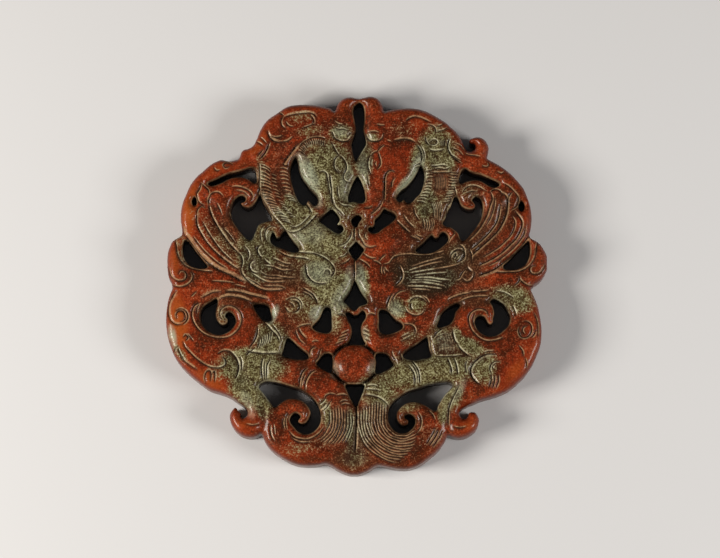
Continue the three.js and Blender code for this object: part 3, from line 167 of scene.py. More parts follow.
# The wheel cut lines of the face. Each row: half width, depth, and how far the stone falls
# away beside the line (to the left of the way the points run, or to the right when it is
# negative), then the points.
LINES = {
    "left head": """
    0.40 0.56 0.34 -11.5,19.1 -10.9,19.9 -10.3,20.7 -9.7,21.5 -9.2,22.1
    0.24 0.40 0.30 -9.0,21.5 -8.5,22.2 -7.8,22.7 -7.0,23.05 -6.2,23.15 -5.4,23.05 -5.0,22.9
    0.26 0.44 0.24 -3.7,23.1 -3.0,22.7 -2.2,22.5 -1.5,22.6 -1.0,23.0
    0.22 0.34 0 -3.9,24.0 -3.7,23.5 -3.4,23.0
    0.20 0.30 0 -1.5,23.0 -1.3,23.4 -0.9,23.8
    0.18 0.26 0 -3.4,24.6 -2.8,24.4 -2.1,24.4 -1.5,24.2
    0.18 0.26 0 -3.5,25.6 -2.9,25.2 -2.2,25.1
    0.20 0.32 0 -5.9,17.6 -5.3,17.7 -4.8,17.4 -4.6,16.5 -4.4,15.5
    0.30 0.56 0 -4.25,17.1 -4.15,16.2 -4.0,15.0 -3.95,14.0 -3.9,13.2 -3.85,12.5
    0.22 0.34 0 -4.55,16.2 -4.35,15.0 -4.2,14.0
    0.24 0.42 0 -2.75,20.2 -3.25,19.9 -3.55,19.2 -3.55,18.4 -3.25,17.8 -2.8,17.35
    0.24 0.42 0 -2.6,20.2 -2.0,19.5 -1.65,18.7 -1.7,17.9 -2.1,17.2
    0.16 0.20 0 -3.2,18.4 -3.0,17.9 -2.6,17.6 -2.3,17.9
    0.22 0.34 0 -2.7,20.1 -3.2,20.8 -3.6,21.5 -4.0,22.3
    0.18 0.24 0 -1.9,17.4 -2.1,16.6 -1.6,16.1 -0.9,16.0
    0.18 0.26 0 -3.0,15.4 -3.0,14.4 -2.8,13.5
    0.24 0.38 0 -3.7,13.2 -3.6,12.5 -3.1,11.8 -2.6,11.4 -2.2,10.8
    0.20 0.28 0 -2.7,12.6 -2.0,12.3 -1.2,12.3 -0.6,12.0
    0.20 0.28 0 -8.0,12.7 -7.6,12.0 -7.1,11.4
    """,
    "right head": """
    0.26 0.42 -0.30 10.05,19.3 10.15,19.9 10.05,20.6 9.8,21.3 9.4,21.9
    0.20 0.30 0 10.55,19.6 10.55,20.3 10.4,21.0 10.0,21.8
    0.30 0.44 0.26 9.1,22.3 8.4,22.7 7.5,22.85 6.6,22.75 5.9,22.55
    0.18 0.24 0 5.3,22.4 4.7,22.6
    0.26 0.46 -0.20 4.2,23.6 4.0,23.0 3.6,22.65 2.9,22.5 2.2,22.6 1.75,22.95 1.4,23.6
    0.18 0.26 0 1.6,23.9 2.2,24.0 2.8,24.0 3.4,23.8
    0.18 0.26 0 3.1,25.1 3.7,25.0 4.3,25.0
    0.22 0.34 0 3.25,20.95 3.7,21.5 4.2,21.9
    0.24 0.40 0 2.15,20.3 1.85,19.8 1.72,19.0 1.8,18.2 2.1,17.3
    0.20 0.30 0 2.2,20.2 2.65,20.7 3.2,20.9
    0.24 0.40 0 3.25,20.8 3.45,20.1 3.65,19.4 3.6,18.6 3.1,18.1
    0.16 0.22 0 2.35,19.6 2.2,19.1 2.3,18.5
    0.16 0.22 0 3.0,19.3 2.8,18.9 3.0,18.5
    0.26 0.44 0.20 5.9,17.6 5.5,17.85 5.0,17.8 4.6,17.4 4.35,16.8 4.3,15.6 4.25,14.4 4.25,13.2
    0.22 0.34 0 5.9,16.7 5.5,16.1 5.4,15.2
    0.24 0.38 0 4.0,13.2 3.7,12.5 3.15,11.8 2.6,11.3 2.0,10.9
    0.20 0.30 0 2.4,12.2 1.8,11.9 1.2,12.0
    0.18 0.26 0 1.7,17.0 1.75,16.2 1.9,15.4
    0.18 0.26 0 9.2,18.7 9.6,18.95 10.0,19.1
    0.18 0.26 0 9.1,18.3 9.5,18.5 9.9,18.6
    """,
    "rim over the heads": """
    0.34 0.46 0 -11.4,26.2 -10.6,26.6 -9.6,26.8 -8.4,26.95 -7.4,27.0 -6.75,26.75 -6.45,26.3
    0.28 0.42 0 -7.3,26.6 -6.9,26.1 -6.75,25.6 -7.0,25.3
    0.22 0.34 0 -8.6,24.5 -7.8,24.8 -7.2,25.05 -6.5,25.2
    0.24 0.36 0 -11.6,26.4 -11.9,25.8 -11.8,25.0 -11.3,24.5
    0.20 0.30 0 -11.2,25.6 -10.9,25.1 -10.4,24.8 -10.0,24.8
    0.20 0.30 0 -12.3,27.2 -11.9,26.9 -11.6,26.6
    0.40 0.50 -0.16 -14.1,24.2 -13.85,23.4 -13.4,22.8 -12.8,22.45 -12.0,22.3
    0.24 0.36 0 -13.5,23.3 -12.9,23.1 -12.2,23.15 -11.8,23.3
    0.26 0.38 0 -11.6,22.4 -11.0,22.5 -10.4,22.85 -10.1,23.2
    0.24 0.36 0 -15.2,23.1 -14.7,22.7 -14.3,22.2
    0.24 0.36 0 -15.8,22.5 -15.3,22.2 -14.8,21.8
    0.22 0.34 0 -14.7,21.2 -15.1,20.7 -15.5,20.2
    0.30 0.42 0 7.8,25.7 8.3,26.1 9.1,26.35 9.9,26.2 10.6,25.9 11.5,25.45
    0.22 0.34 0 11.2,25.1 11.9,24.9 12.3,24.4 12.3,23.9
    0.22 0.34 0 12.6,24.9 13.1,25.0 13.5,25.2
    0.26 0.38 0 12.5,24.1 13.3,24.2 14.2,24.6
    0.18 0.26 0 15.4,22.2 16.2,21.8 16.9,21.0
    0.18 0.26 0 15.0,21.4 15.9,21.0 16.6,20.3
    0.22 0.32 0 16.9,20.6 17.6,20.3 18.5,20.2 19.3,20.0
    0.22 0.34 0 -20.0,18.5 -20.6,18.3 -20.9,18.7 -20.6,19.1 -20.0,19.1 -19.5,18.8
    0.20 0.30 0 -22.4,18.3 -22.0,17.8 -21.5,17.9
    0.20 0.30 0 19.6,18.6 20.2,18.4 20.7,18.7 20.5,19.2
    0.20 0.30 0 22.0,17.6 22.7,17.4 23.1,17.7
    """,
    "necks": """
    0.28 0.44 0.22 -13.7,22.4 -14.0,21.6 -14.3,20.9 -14.8,20.2 -15.3,19.7
    0.24 0.38 0 -15.35,19.0 -15.25,17.4 -15.3,15.6 -15.15,14.2
    0.26 0.40 0 -14.95,13.6 -14.1,12.3 -13.2,10.8 -12.2,9.7 -11.2,8.5
    0.26 0.40 0.22 14.6,23.0 14.25,22.2 14.25,21.3 14.8,20.3 15.5,19.6 16.4,18.9
    0.20 0.30 0 15.0,20.3 15.5,19.9 16.2,19.5
    0.28 0.48 0.26 -10.9,8.3 -10.1,8.1 -9.2,8.3 -8.3,8.8 -7.4,9.6 -6.7,10.4 -6.1,11.1
    0.20 0.32 0 -10.6,9.1 -9.7,8.9 -8.8,9.3 -8.0,10.0 -7.3,10.8
    0.22 0.34 0 9.9,6.7 9.2,7.1 8.4,7.5
    0.20 0.30 0 9.9,6.8 9.4,7.2 9.0,7.5
    0.28 0.40 0 10.2,7.3 9.7,7.4 9.2,7.7
    0.30 0.48 -0.26 8.2,8.0 7.4,8.7 6.7,9.4 6.2,10.0
    0.24 0.36 0 8.8,8.9 8.0,9.7 7.2,10.8
    0.18 0.28 0 9.6,10.2 9.1,11.0 8.9,12.0
    0.22 0.34 0 10.75,18.2 10.7,17.2 10.65,16.2 10.4,15.2
    0.26 0.40 0 11.3,21.15 12.2,21.0 13.0,21.05 13.7,21.2
    0.24 0.38 0 11.7,18.6 12.6,18.65 13.4,18.75 14.1,18.6
    0.24 0.40 0 11.6,17.6 12.6,17.6 13.6,17.6 14.7,17.6
    0.20 0.30 0 12.2,18.2 13.0,18.3 13.8,18.1 14.6,18.4
    0.24 0.38 0 10.75,23.1 10.85,22.5 11.2,22.0
    0.22 0.34 0 11.6,22.5 12.1,22.8 12.6,22.4 12.2,22.0 11.6,22.1
    0.24 0.36 0 14.2,13.9 14.8,13.2 14.1,12.2 14.0,11.2 13.3,10.0
    0.20 0.30 0 -11.6,19.0 -11.3,18.7 -10.9,18.8
    0.30 0.44 0 -7.9,12.8 -7.5,12.0 -7.1,11.2
    """,
    "left wing": """
    0.30 0.46 -0.22 -23.2,12.4 -23.0,11.6 -22.6,10.5 -21.9,9.2 -21.0,7.8 -19.9,6.3 -18.6,4.9
    0.28 0.44 -0.22 -25.05,11.0 -25.1,10.0 -24.9,9.0 -24.4,8.0 -23.6,6.7 -22.5,5.4 -21.2,4.2 -19.8,3.1
      -18.6,2.3
    0.22 0.34 0 -24.1,9.6 -23.5,8.5 -22.8,7.4 -21.9,6.1 -20.8,4.8 -19.4,3.5
    0.18 0.26 0 -20.9,8.8 -20.0,7.8 -19.1,6.6
    0.20 0.30 -0.10 -20.1,11.3 -19.6,10.2 -18.9,9.2 -18.1,8.2
    0.18 0.26 0 -21.9,12.6 -21.5,11.8 -21.2,11.0
    0.22 0.36 0 -23.2,12.4 -23.2,13.4 -22.6,14.3 -21.7,14.4 -21.0,13.8
    0.22 0.34 0 -25.1,10.9 -24.9,11.8 -24.3,12.3 -23.7,12.0
    0.22 0.36 0.10 -24.4,15.8 -24.6,15.0 -25.1,14.2 -24.9,13.2 -24.4,12.6 -23.9,12.4
    0.22 0.34 0.10 -24.5,15.9 -23.8,15.3 -23.3,14.8 -23.2,14.2
    0.56 0.56 -0.26 -27.3,8.9 -27.1,7.9 -26.6,7.3 -26.0,6.6 -25.3,5.6 -24.2,4.3 -23.2,3.3 -21.9,2.4
      -20.2,1.6 -18.8,0.9 -17.6,0.2
    0.20 0.30 0 -25.6,7.4 -24.8,6.3 -23.7,5.0 -22.6,4.0 -21.5,3.1 -20.3,2.4
    0.26 0.42 0.12 -19.6,15.2 -19.0,15.3 -18.2,15.2 -17.4,14.9 -16.8,14.5 -16.4,13.9 -16.5,13.3
    0.18 0.26 0 -18.9,14.7 -18.2,14.6 -17.5,14.3 -17.1,13.8
    0.22 0.34 0 -15.2,15.4 -15.4,14.6 -15.5,13.9
    """,
    "right wing": """
    0.28 0.48 -0.22 22.5,14.4 23.2,14.0 23.6,13.2 23.6,12.2 23.4,11.0 22.9,9.7 22.2,8.5 21.2,7.4
      20,6.3 19,5.4 17.9,4.4
    0.24 0.40 0 22.4,12.4 22.3,11.3 22.1,10.4 21.7,9.4 20.9,8.3 19.9,7.2 18.9,6.3 18.0,5.5
    0.28 0.48 -0.22 24.7,11.4 25.3,10.7 25.8,9.8 25.8,9.0 25.4,8.0 24.8,7.0 24.0,6.2 23.0,5.2 21.8,4.3
      20.4,3.5 19.0,2.9
    0.22 0.34 0 24.3,10.6 24.7,9.8 24.6,8.8 24.1,7.7 23.3,6.8 22.2,5.8 21.0,5.0 19.7,4.2
    0.26 0.44 -0.16 20.9,14.4 21.2,13.4 20.8,12.2 20.4,10.9 19.9,9.9 19.1,8.6 18.3,7.7 17.4,6.8
    0.20 0.30 0 21.6,13.4 21.5,12.4 21.2,11.2 20.8,10.2 20.2,9.2
    0.22 0.36 0 20.9,14.4 21.5,14.9 22.3,14.7 22.8,14.0
    0.24 0.40 -0.10 23.0,15.8 23.8,15.3 24.5,14.6 25.2,13.7 25.2,12.7 24.8,12.1 24.1,11.7
    0.22 0.34 0 24.2,14.4 23.8,13.8 23.7,13.2
    0.44 0.52 -0.26 27.1,8.6 27.0,7.7 26.5,7.1 25.7,6.0 24.8,5.0 23.7,4.0 22.6,3.1 21.2,2.1 20.2,1.7
      19,1.3
    0.22 0.36 0 26.3,8.9 26.2,8.0 25.7,7.1 24.9,6.1 23.9,5.1 22.9,4.3 21.8,3.5 20.6,2.9
    0.24 0.38 -0.10 16.6,14.4 16.9,15.0 17.6,15.4 18.6,15.4 19.5,15.0 20.2,14.5
    0.20 0.30 0 17.2,14.3 17.9,14.6 18.8,14.5
    0.22 0.34 0 15.2,15.4 15.4,14.6 15.6,13.9
    """,
    "ears at the wing roots": """
    0.26 0.42 0.16 -28.4,7.0 -28.3,6.2 -28.2,5.2 -27.9,4.2 -27.4,3.4 -26.7,2.8 -25.8,2.4 -24.4,2.1
      -22.6,1.9
    0.26 0.44 -0.14 -29.4,2.6 -29.2,1.5 -28.5,0.7 -27.6,0.4 -26.8,0.7 -26.6,1.4 -27.0,2.0 -27.6,2.0
      -27.9,1.5
    0.24 0.40 -0.12 -28.8,-0.2 -27.7,-0.5 -26.6,-0.2 -25.8,0.5 -25.6,1.3 -25.9,1.9
    0.22 0.34 0 -27.4,3.2 -26.8,3.7 -26.5,4.4
    0.26 0.42 -0.16 28.2,6.6 28.1,5.8 28.0,4.9 27.7,3.9 27.0,2.9 26.2,2.3 25.0,1.9 23.4,1.8 21.4,1.8
    0.24 0.38 0.12 29.4,3.0 28.9,2.0 28.1,1.5 27.3,1.6 27.0,2.2 27.3,2.8 27.9,2.8
    0.24 0.38 0.12 27.6,-0.2 26.9,-0.3 26.2,0.0 25.6,0.5 25.3,1.2
    0.20 0.30 0 24.6,-0.3 25.2,0.2 25.4,0.8
    """,
    "breasts": """
    0.22 0.34 0 -0.9,8.4 -0.9,7.7 -1.3,6.9 -1.9,6.3 -2.8,6.0
    0.20 0.30 0 -1.5,4.9 -2.0,4.4 -2.7,4.2
    0.20 0.30 0 -1.1,3.9 -1.7,3.4 -2.4,3.1
    0.24 0.40 0 0.2,8.5 0.3,7.6 0.8,6.7 1.3,6.0 2.2,5.7 3.0,5.9
    0.22 0.34 0 0.9,4.9 1.4,4.4 2.2,4.0 3.0,4.0
    0.22 0.34 0 0.3,3.9 0.9,3.5 1.5,3.1 2.0,2.5
    0.20 0.30 0 2.6,3.6 3.2,3.4 3.7,3.0
    0.20 0.30 0 4.2,3.0 5.0,3.2 5.6,3.9 6.6,4.3
    0.20 0.30 0 1.3,8.0 1.2,7.4 1.6,6.9
    0.24 0.60 0 -0.42,8.9 -0.42,8.0 -0.42,6.9
    0.24 0.60 0 -0.42,3.8 -0.40,2.6 -0.38,1.4 -0.40,0.5
    """,
    "wing roots, left": """
    0.24 0.40 0 -14.2,6.8 -14.4,7.8 -14.1,8.7 -13.4,9.1 -12.6,8.9
    0.18 0.28 0 -14.9,6.6 -15.1,7.6 -15.0,8.5 -14.5,9.2
    0.30 0.50 0.22 -14.9,6.2 -15.5,5.7 -15.6,5.1 -15.3,4.5 -14.9,4.1
    0.26 0.44 0.08 -15.9,3.8 -16.5,3.5 -16.8,2.9 -16.6,2.2 -16.1,1.8 -15.4,1.7
    0.24 0.38 0 -18.6,5.0 -18.0,4.2 -17.9,3.3 -18.1,2.4
    0.22 0.34 0 -17.6,5.9 -17.0,5.1 -16.9,4.4 -17.2,3.7
    0.34 0.50 0.18 -18.2,2.4 -18.0,1.6 -17.5,0.9 -16.9,0.3 -16.1,-0.3 -15.1,-0.8 -14.0,-1.05
      -12.8,-1.05 -11.6,-1.0
    0.20 0.30 0 -17.2,1.0 -16.7,0.6 -16.0,0.3 -15.2,-0.2
    0.22 0.36 0 -14.5,3.9 -14.1,3.4 -13.5,3.0
    0.20 0.30 0 -13.2,4.0 -12.4,3.7 -11.6,3.3 -10.8,3.1 -10.2,3.1
    0.26 0.42 0.14 -12.4,5.2 -11.6,4.7 -10.6,4.3 -9.4,4.15 -8.2,4.0 -7.4,3.7
    0.22 0.36 0.10 -9.4,5.1 -8.2,4.9 -7.0,4.8 -6.0,4.5 -5.1,4.1 -4.3,3.5
    0.24 0.40 -0.14 -4.3,3.5 -3.8,2.9 -3.5,2.3 -3.6,1.7 -4.0,1.1
    0.20 0.30 0 -14.4,2.8 -13.4,2.7 -12.5,2.4 -11.7,2.1 -10.8,2.1 -10.0,2.2
    0.18 0.26 0 -12.4,3.0 -11.6,2.7 -10.8,2.6
    0.22 0.36 0 -15.2,1.9 -14.4,1.4 -13.6,1.2 -12.6,1.2 -11.6,1.0 -10.6,0.9 -9.6,0.9
    0.18 0.28 0 -14.6,1.0 -13.6,0.8 -12.6,0.75 -11.4,0.8
    0.20 0.30 0 -16.4,1.6 -15.6,1.1 -14.8,0.6 -13.8,0.25 -12.6,0.2 -11.2,0.3
    0.18 0.26 0 -14.6,-0.3 -13.4,-0.4 -12.2,-0.4 -11.2,-0.7
    0.18 0.26 0 -12.6,-0.6 -11.8,-0.5 -11.2,-0.9
    0.26 0.44 0.20 -8.0,3.1 -8.0,2.3 -7.8,1.4 -7.3,0.7 -6.6,0.2 -5.6,0.0 -4.8,0.1
    0.26 0.42 -0.20 -8.4,-0.7 -7.6,-1.2 -6.9,-1.7 -6.4,-2.4 -6.2,-3.1
    """,
    "wing roots, right": """
    0.30 0.48 -0.16 14.6,4.0 14.8,4.7 15.3,5.1 15.9,5.2
    0.26 0.42 -0.14 16.0,6.1 16.6,5.7 16.8,5.0 16.7,4.3 16.2,3.7
    0.20 0.30 0 15.4,5.0 15.4,4.5 15.7,4.2
    0.22 0.34 0 14.2,6.4 14.6,7.2 15.2,8.0 14.9,8.6
    0.22 0.34 0 17.6,5.4 17.9,4.6 17.9,3.8
    0.28 0.44 -0.14 17.2,2.7 17.5,2.2 18.0,1.9
    0.30 0.46 0 18.3,1.8 18.2,1.1 17.7,0.5 17.1,0.3 16.5,0.7
    0.20 0.30 0 16.9,2.2 16.4,1.6 16.0,0.9 15.4,0.7
    0.22 0.34 -0.12 13.6,5.1 12.4,4.8 10.9,4.5 9.8,4.5 8.2,4.6 6.4,4.4 5.8,4.2 5.4,3.8
    0.20 0.32 0 8.2,2.0 10.1,2.65 12.0,3.15 13.4,3.4
    0.20 0.32 0 8.6,2.6 10.2,3.2 12.0,3.7 13.4,4.1
    0.22 0.34 0 8.3,1.6 10.1,1.9 12.0,2.2 14.4,2.6 16.0,3.0
    0.20 0.32 0 9.0,1.2 10.6,1.4 12.4,1.6 14.0,1.7
    0.28 0.44 0 9.1,0.8 10.0,0.85 10.9,0.85 12.0,0.75 12.8,0.6 14.4,0.5
    0.20 0.32 0 8.6,0.45 10.0,0.5 11.6,0.4 13.2,0.15
    0.28 0.44 0 8.3,0.05 9.2,0.1 10.1,0.1 11.0,0.0 12.0,-0.15 13.6,-0.5
    0.24 0.38 0 7.8,-0.5 9.7,-0.5 10.7,-0.55 11.7,-0.7 13.2,-0.9
    0.22 0.34 0 8.6,-0.95 10.0,-1.0 11.4,-1.15
    0.22 0.34 0 14.6,4.1 15.0,5.0 16.0,5.45 16.8,4.9 16.7,3.9 15.8,3.4
    0.20 0.30 0 15.1,3.9 15.6,4.8
    0.20 0.30 0 15.5,3.9 16.1,4.6
    0.28 0.46 -0.20 17.6,-1.5 16.4,-1.7 15.2,-2.1 14.2,-2.6
    0.28 0.46 -0.18 6.6,2.8 6.9,2.2 7.1,1.5 7.0,0.8 6.6,0.2 6.1,-0.2
    0.22 0.34 0 3.8,1.5 3.65,2.1 3.75,2.8
    0.22 0.34 0 4.25,1.5 4.05,2.1 4.15,2.7
    0.20 0.30 0 4.3,2.6 4.5,2.1 4.9,1.9
    0.20 0.30 0 3.4,3.6 3.8,4.1 4.4,4.6
    """,
    "thighs": """
    0.24 0.40 0 -11.0,-2.6 -10.3,-2.25 -9.5,-2.25 -8.9,-2.7 -8.6,-3.3 -8.6,-3.9
    0.28 0.48 0 -10.2,-2.7 -9.5,-2.75 -9.05,-3.2 -9.0,-3.9 -9.4,-4.4 -10.0,-4.5
    0.20 0.30 0 -10.5,-3.0 -10.0,-3.3 -9.8,-3.7
    0.24 0.36 0 -11.1,-3.8 -10.9,-4.2 -10.5,-4.5
    0.18 0.26 0 -8.4,-1.3 -7.4,-1.8 -6.9,-2.4
    0.26 0.44 -0.16 5.6,-1.5 5.2,-2.1 4.9,-2.8 4.7,-3.6 4.8,-4.1
    0.22 0.34 0 7.6,-1.0 6.9,-1.1 6.3,-1.4 5.8,-2.0 5.5,-2.7
    0.28 0.46 0 8.2,-3.0 8.5,-2.5 9.0,-2.2 9.6,-2.15 10.2,-2.4 10.7,-2.9
    0.32 0.52 0 8.5,-3.1 8.35,-3.6 8.6,-4.1
    0.22 0.34 0 7.4,-3.7 7.8,-4.4 8.5,-4.85 9.4,-5.0 10.2,-4.7 10.6,-4.1
    0.22 0.34 0 10.2,-2.0 10.8,-2.4 11.2,-3.0
    0.24 0.38 0 -9.4,-7.0 -8.7,-6.65 -7.9,-6.45 -7.2,-6.35
    0.34 0.46 0 -9.2,-7.0 -8.9,-7.6 -8.4,-8.2 -7.9,-8.7
    0.20 0.30 0 -9.6,-7.2 -9.4,-8.0 -8.9,-8.9 -8.2,-9.5
    0.24 0.38 0 7.3,-6.3 8.1,-6.4 8.8,-6.7 9.1,-7.3 9.0,-8.0
    0.20 0.30 0 6.9,-8.4 7.5,-8.1 8.1,-7.8
    0.20 0.30 0 7.0,-9.0 7.7,-8.6 8.4,-8.2
    0.22 0.34 0 -7.3,-11.5 -7.35,-10.8 -7.0,-10.1 -6.4,-9.9
    0.24 0.38 0 -6.6,-12.2 -6.0,-11.4 -5.8,-10.6 -5.6,-10.2
    0.20 0.30 0 -7.0,-9.2 -6.5,-9.0 -6.0,-9.1
    0.22 0.34 0 5.4,-10.6 5.6,-11.3 6.0,-11.9
    0.24 0.38 0 6.8,-10.9 6.9,-11.5 7.0,-12.0
    """,
    "knob of the left belly": """
    0.20 0.30 0 -5.1,1.6 -4.9,2.1 -4.5,2.2 -4.2,1.8 -4.3,1.4 -4.7,1.3
    """,
    "feet": """
    0.26 0.40 0 -2.3,-7.9 -1.8,-7.6 -1.3,-7.4
    0.26 0.40 0 -2.7,-8.5 -2.0,-8.2 -1.4,-7.95
    0.26 0.40 0 -2.9,-9.0 -2.3,-8.75 -1.6,-8.5
    0.26 0.40 0 -3.2,-9.5 -2.6,-9.2 -2.0,-9.0
    0.26 0.40 0 0.9,-7.2 1.3,-7.3 1.8,-7.6
    0.26 0.40 0 0.9,-7.9 1.4,-8.0 1.9,-8.3
    0.26 0.40 0 1.1,-8.6 1.5,-8.7 2.0,-9.0
    0.26 0.36 0 -1.9,-5.0 -2.4,-4.7 -3.0,-4.8
    0.26 0.36 0 1.6,-4.9 2.2,-4.7 2.8,-4.9
    """,
    "tail bands": """
    0.42 0.50 0.16 -20.4,-1.3 -19.2,-1.2 -18.0,-1.4 -16.6,-1.8 -15.2,-2.1 -13.8,-2.5
    0.42 0.50 0 -21.6,-2.6 -21.0,-2.2 -20.0,-2.0 -18.8,-2.1 -17.6,-2.4 -16.5,-2.9
    0.36 0.42 0 -24.3,-2.3 -23.4,-1.8 -22.4,-1.35 -21.3,-1.3
    0.20 0.30 0 -25.9,-2.0 -25.5,-1.6 -25.1,-1.2
    0.18 0.26 0 -22.6,0.4 -20.8,0.3 -19.2,0.1
    0.18 0.26 0 -19.0,-0.2 -18.2,-0.4 -17.4,-0.6
    0.28 0.44 0 -24.4,-2.9 -25.3,-3.4 -25.75,-4.3 -25.75,-5.3 -25.3,-6.4 -24.4,-7.5 -23.2,-8.2
      -21.9,-8.5 -20.6,-8.5 -19.5,-8.1 -18.6,-7.3 -18.05,-6.3 -17.95,-5.3 -18.3,-4.4 -19.0,-3.7
      -19.9,-3.4 -20.7,-3.6 -21.3,-4.2 -21.4,-4.9 -21.1,-5.6
    0.20 0.30 0 -25.0,-4.6 -24.95,-3.8 -24.6,-3.2
    0.24 0.40 -0.12 20.6,-1.1 19.0,-1.3 17.8,-1.3
    0.24 0.40 0 20.6,-2.0 19.6,-2.0 18.2,-2.1 17.0,-2.4 16.0,-2.9
    0.20 0.30 0 24.4,-2.2 23.0,-1.4 21.6,-1.1
    0.26 0.42 0 20.5,-5.1 20.3,-4.4 19.5,-3.95 18.6,-4.0 17.8,-4.5 17.4,-5.3 17.5,-6.3 17.9,-7.3
      18.6,-8.1 19.4,-8.7 20.4,-9.0 21.6,-8.9 22.8,-8.5
    0.20 0.30 0 18.4,-4.6 18.1,-5.4 18.2,-6.4 18.6,-7.3
    0.30 0.46 0 24.2,-3.4 24.6,-4.2 24.8,-5.0
    0.36 0.44 0.12 -28.2,-1.0 -28.8,-2.0 -29.3,-3.0 -29.45,-4.0 -29.35,-5.0 -28.95,-5.9 -28.2,-6.4
      -27.4,-6.4
    0.26 0.44 0 -28.2,-4.2 -27.4,-3.95 -26.7,-4.3 -26.35,-5.1 -26.6,-5.9 -27.2,-6.4
    0.22 0.36 0 -28.1,-5.5 -28.2,-4.8 -27.7,-4.25 -27.1,-4.4 -26.8,-5.0 -26.9,-5.7 -27.5,-6.0
    0.24 0.40 0 26.1,-5.9 26.8,-6.1 27.2,-6.7 27.2,-7.5 26.8,-8.2 26.2,-8.5 25.5,-8.3 25.2,-7.6
      25.3,-6.8
    0.20 0.32 0 26.5,-6.6 26.0,-6.8 25.8,-7.4 26.1,-7.9
    0.30 0.44 0 27.8,-7.4 27.6,-8.0 27.2,-8.4
    0.22 0.34 0 27.6,-4.6 28.0,-5.6 28.2,-6.8 28.2,-8.2
    """,
    "cheek scrolls": """
    0.26 0.44 -0.14 -27.1,-9.2 -26.8,-9.9 -26.1,-10.7 -25.1,-11.7 -24.0,-12.5 -23.0,-13.0 -22.0,-13.2
      -21.1,-13.1 -20.5,-12.7 -20.5,-12.0 -20.9,-11.5
    0.20 0.32 0 -27.9,-10.0 -27.5,-11.0 -26.9,-11.8
    0.34 0.40 0 -27.5,-11.3 -26.9,-12.1 -26.0,-12.8 -25.0,-13.5
    0.20 0.32 0 -28.6,-11.0 -28.3,-10.2 -27.9,-9.8
    0.26 0.44 -0.20 -21.6,-11.0 -20.9,-10.55 -20.1,-10.5 -19.3,-11.0 -18.7,-11.9 -18.4,-13.0
      -18.6,-14.1 -18.9,-14.8
    0.22 0.34 0 -18.2,-11.4 -17.95,-12.3 -18.0,-13.6
    0.24 0.38 0 -23.6,-15.5 -23.7,-14.6 -23.4,-13.8 -22.9,-13.6 -22.7,-14.3 -22.8,-15.2
    0.24 0.38 0 -22.6,-14.2 -22.2,-13.7 -22.1,-14.6 -22.2,-15.4
    0.18 0.26 0 -26.4,-7.9 -26.0,-8.4 -25.5,-9.0
    0.24 0.38 0 -27.0,-8.4 -26.7,-8.0 -26.3,-8.5 -26.7,-8.9
    0.34 0.56 0.20 21.6,-11.1 20.6,-11.05 19.6,-11.3 18.7,-11.9 18.0,-12.7 17.65,-13.6 17.85,-14.5
      18.4,-15.2 19.0,-15.8
    0.20 0.32 0 21.2,-10.6 20.4,-10.6 19.8,-10.8
    0.24 0.40 0 22.3,-12.2 21.5,-12.2 20.9,-12.7 20.7,-13.4 20.9,-14.0
    0.22 0.34 0 21.3,-13.4 21.1,-13.0 21.5,-12.6
    0.26 0.40 0 20.9,-14.2 20.9,-15.2 20.6,-16.2
    0.24 0.38 0 21.5,-14.4 21.4,-15.4 21.1,-16.4
    0.26 0.40 0 22.0,-14.3 22.0,-15.3 21.6,-16.4
    0.20 0.32 0 26.2,-11.7 26.4,-12.4 26.4,-13.2
    0.20 0.32 0 25.2,-9.8 25.8,-10.6 25.9,-11.4
    0.24 0.40 0.12 15.9,-16.0 15.4,-17.0 14.9,-18.0 14.4,-19.2 14.2,-20.6 14.2,-22.0
    """,
    "fans and fins": """
    0.28 0.46 -0.16 -14.4,-6.2 -13.9,-6.6 -13.3,-7.3 -12.7,-7.9 -12.3,-8.5 -12.1,-9.2
    0.20 0.32 0 -13.2,-6.4 -12.6,-7.2 -12.0,-8.1 -11.8,-9.0
    0.26 0.44 0.12 -15.5,-6.8 -15.55,-7.6 -15.7,-8.4 -16.1,-9.2 -16.7,-9.9
    0.38 0.56 0.22 -17.1,-10.6 -16.2,-10.75 -15.2,-10.9 -14.0,-10.95 -12.8,-10.9 -12.1,-10.9
    0.24 0.38 0 -17.2,-11.2 -16.6,-10.6 -16.0,-10.2
    0.26 0.42 0.12 13.4,-7.0 12.8,-7.4 12.3,-7.9 11.9,-8.5
    0.30 0.48 -0.12 14.9,-7.2 15.0,-8.0 15.2,-8.8 15.7,-9.5
    0.30 0.48 -0.16 15.7,-9.7 16.3,-10.4 17.0,-11.0 17.6,-11.4
    0.24 0.40 -0.12 16.5,-11.2 15.2,-11.35 13.8,-11.4 12.4,-11.4
    0.26 0.40 0 11.5,-8.9 11.5,-9.8 11.8,-10.9
    """,
    "arch bands": """
    0.26 0.50 0 -14.6,-11.6 -14.85,-12.6 -14.85,-13.8 -14.7,-15.0
    0.26 0.50 0 -13.5,-11.9 -14.0,-12.8 -14.05,-13.9 -14.05,-15.0
    0.18 0.30 0 -14.35,-12.3 -14.4,-13.6 -14.3,-15.0
    0.28 0.52 0 -7.7,-13.1 -8.4,-13.8 -8.8,-14.7 -8.95,-15.6 -9.0,-16.2
    0.20 0.32 0 -8.1,-14.3 -8.5,-15.2 -8.7,-16.2
    0.28 0.52 0 -6.4,-13.5 -7.1,-13.9 -7.7,-14.7 -8.05,-15.6 -8.1,-16.7
    0.28 0.52 0 8.0,-12.8 8.5,-13.4 8.9,-14.2 9.05,-15.0 9.0,-16.0
    0.26 0.46 0 8.5,-12.1 9.0,-12.7 9.45,-13.4 9.7,-14.4 9.8,-15.7
    0.18 0.28 0 8.5,-12.6 9.0,-13.3 9.35,-14.3 9.4,-15.6
    0.26 0.48 0 14.1,-11.7 14.4,-12.5 14.7,-13.4 14.75,-14.2
    0.26 0.48 0 15.1,-11.7 15.4,-12.5 15.6,-13.4 15.7,-14.2
    0.18 0.26 0 17.2,-12.0 16.9,-12.9 17.1,-13.9
    """,
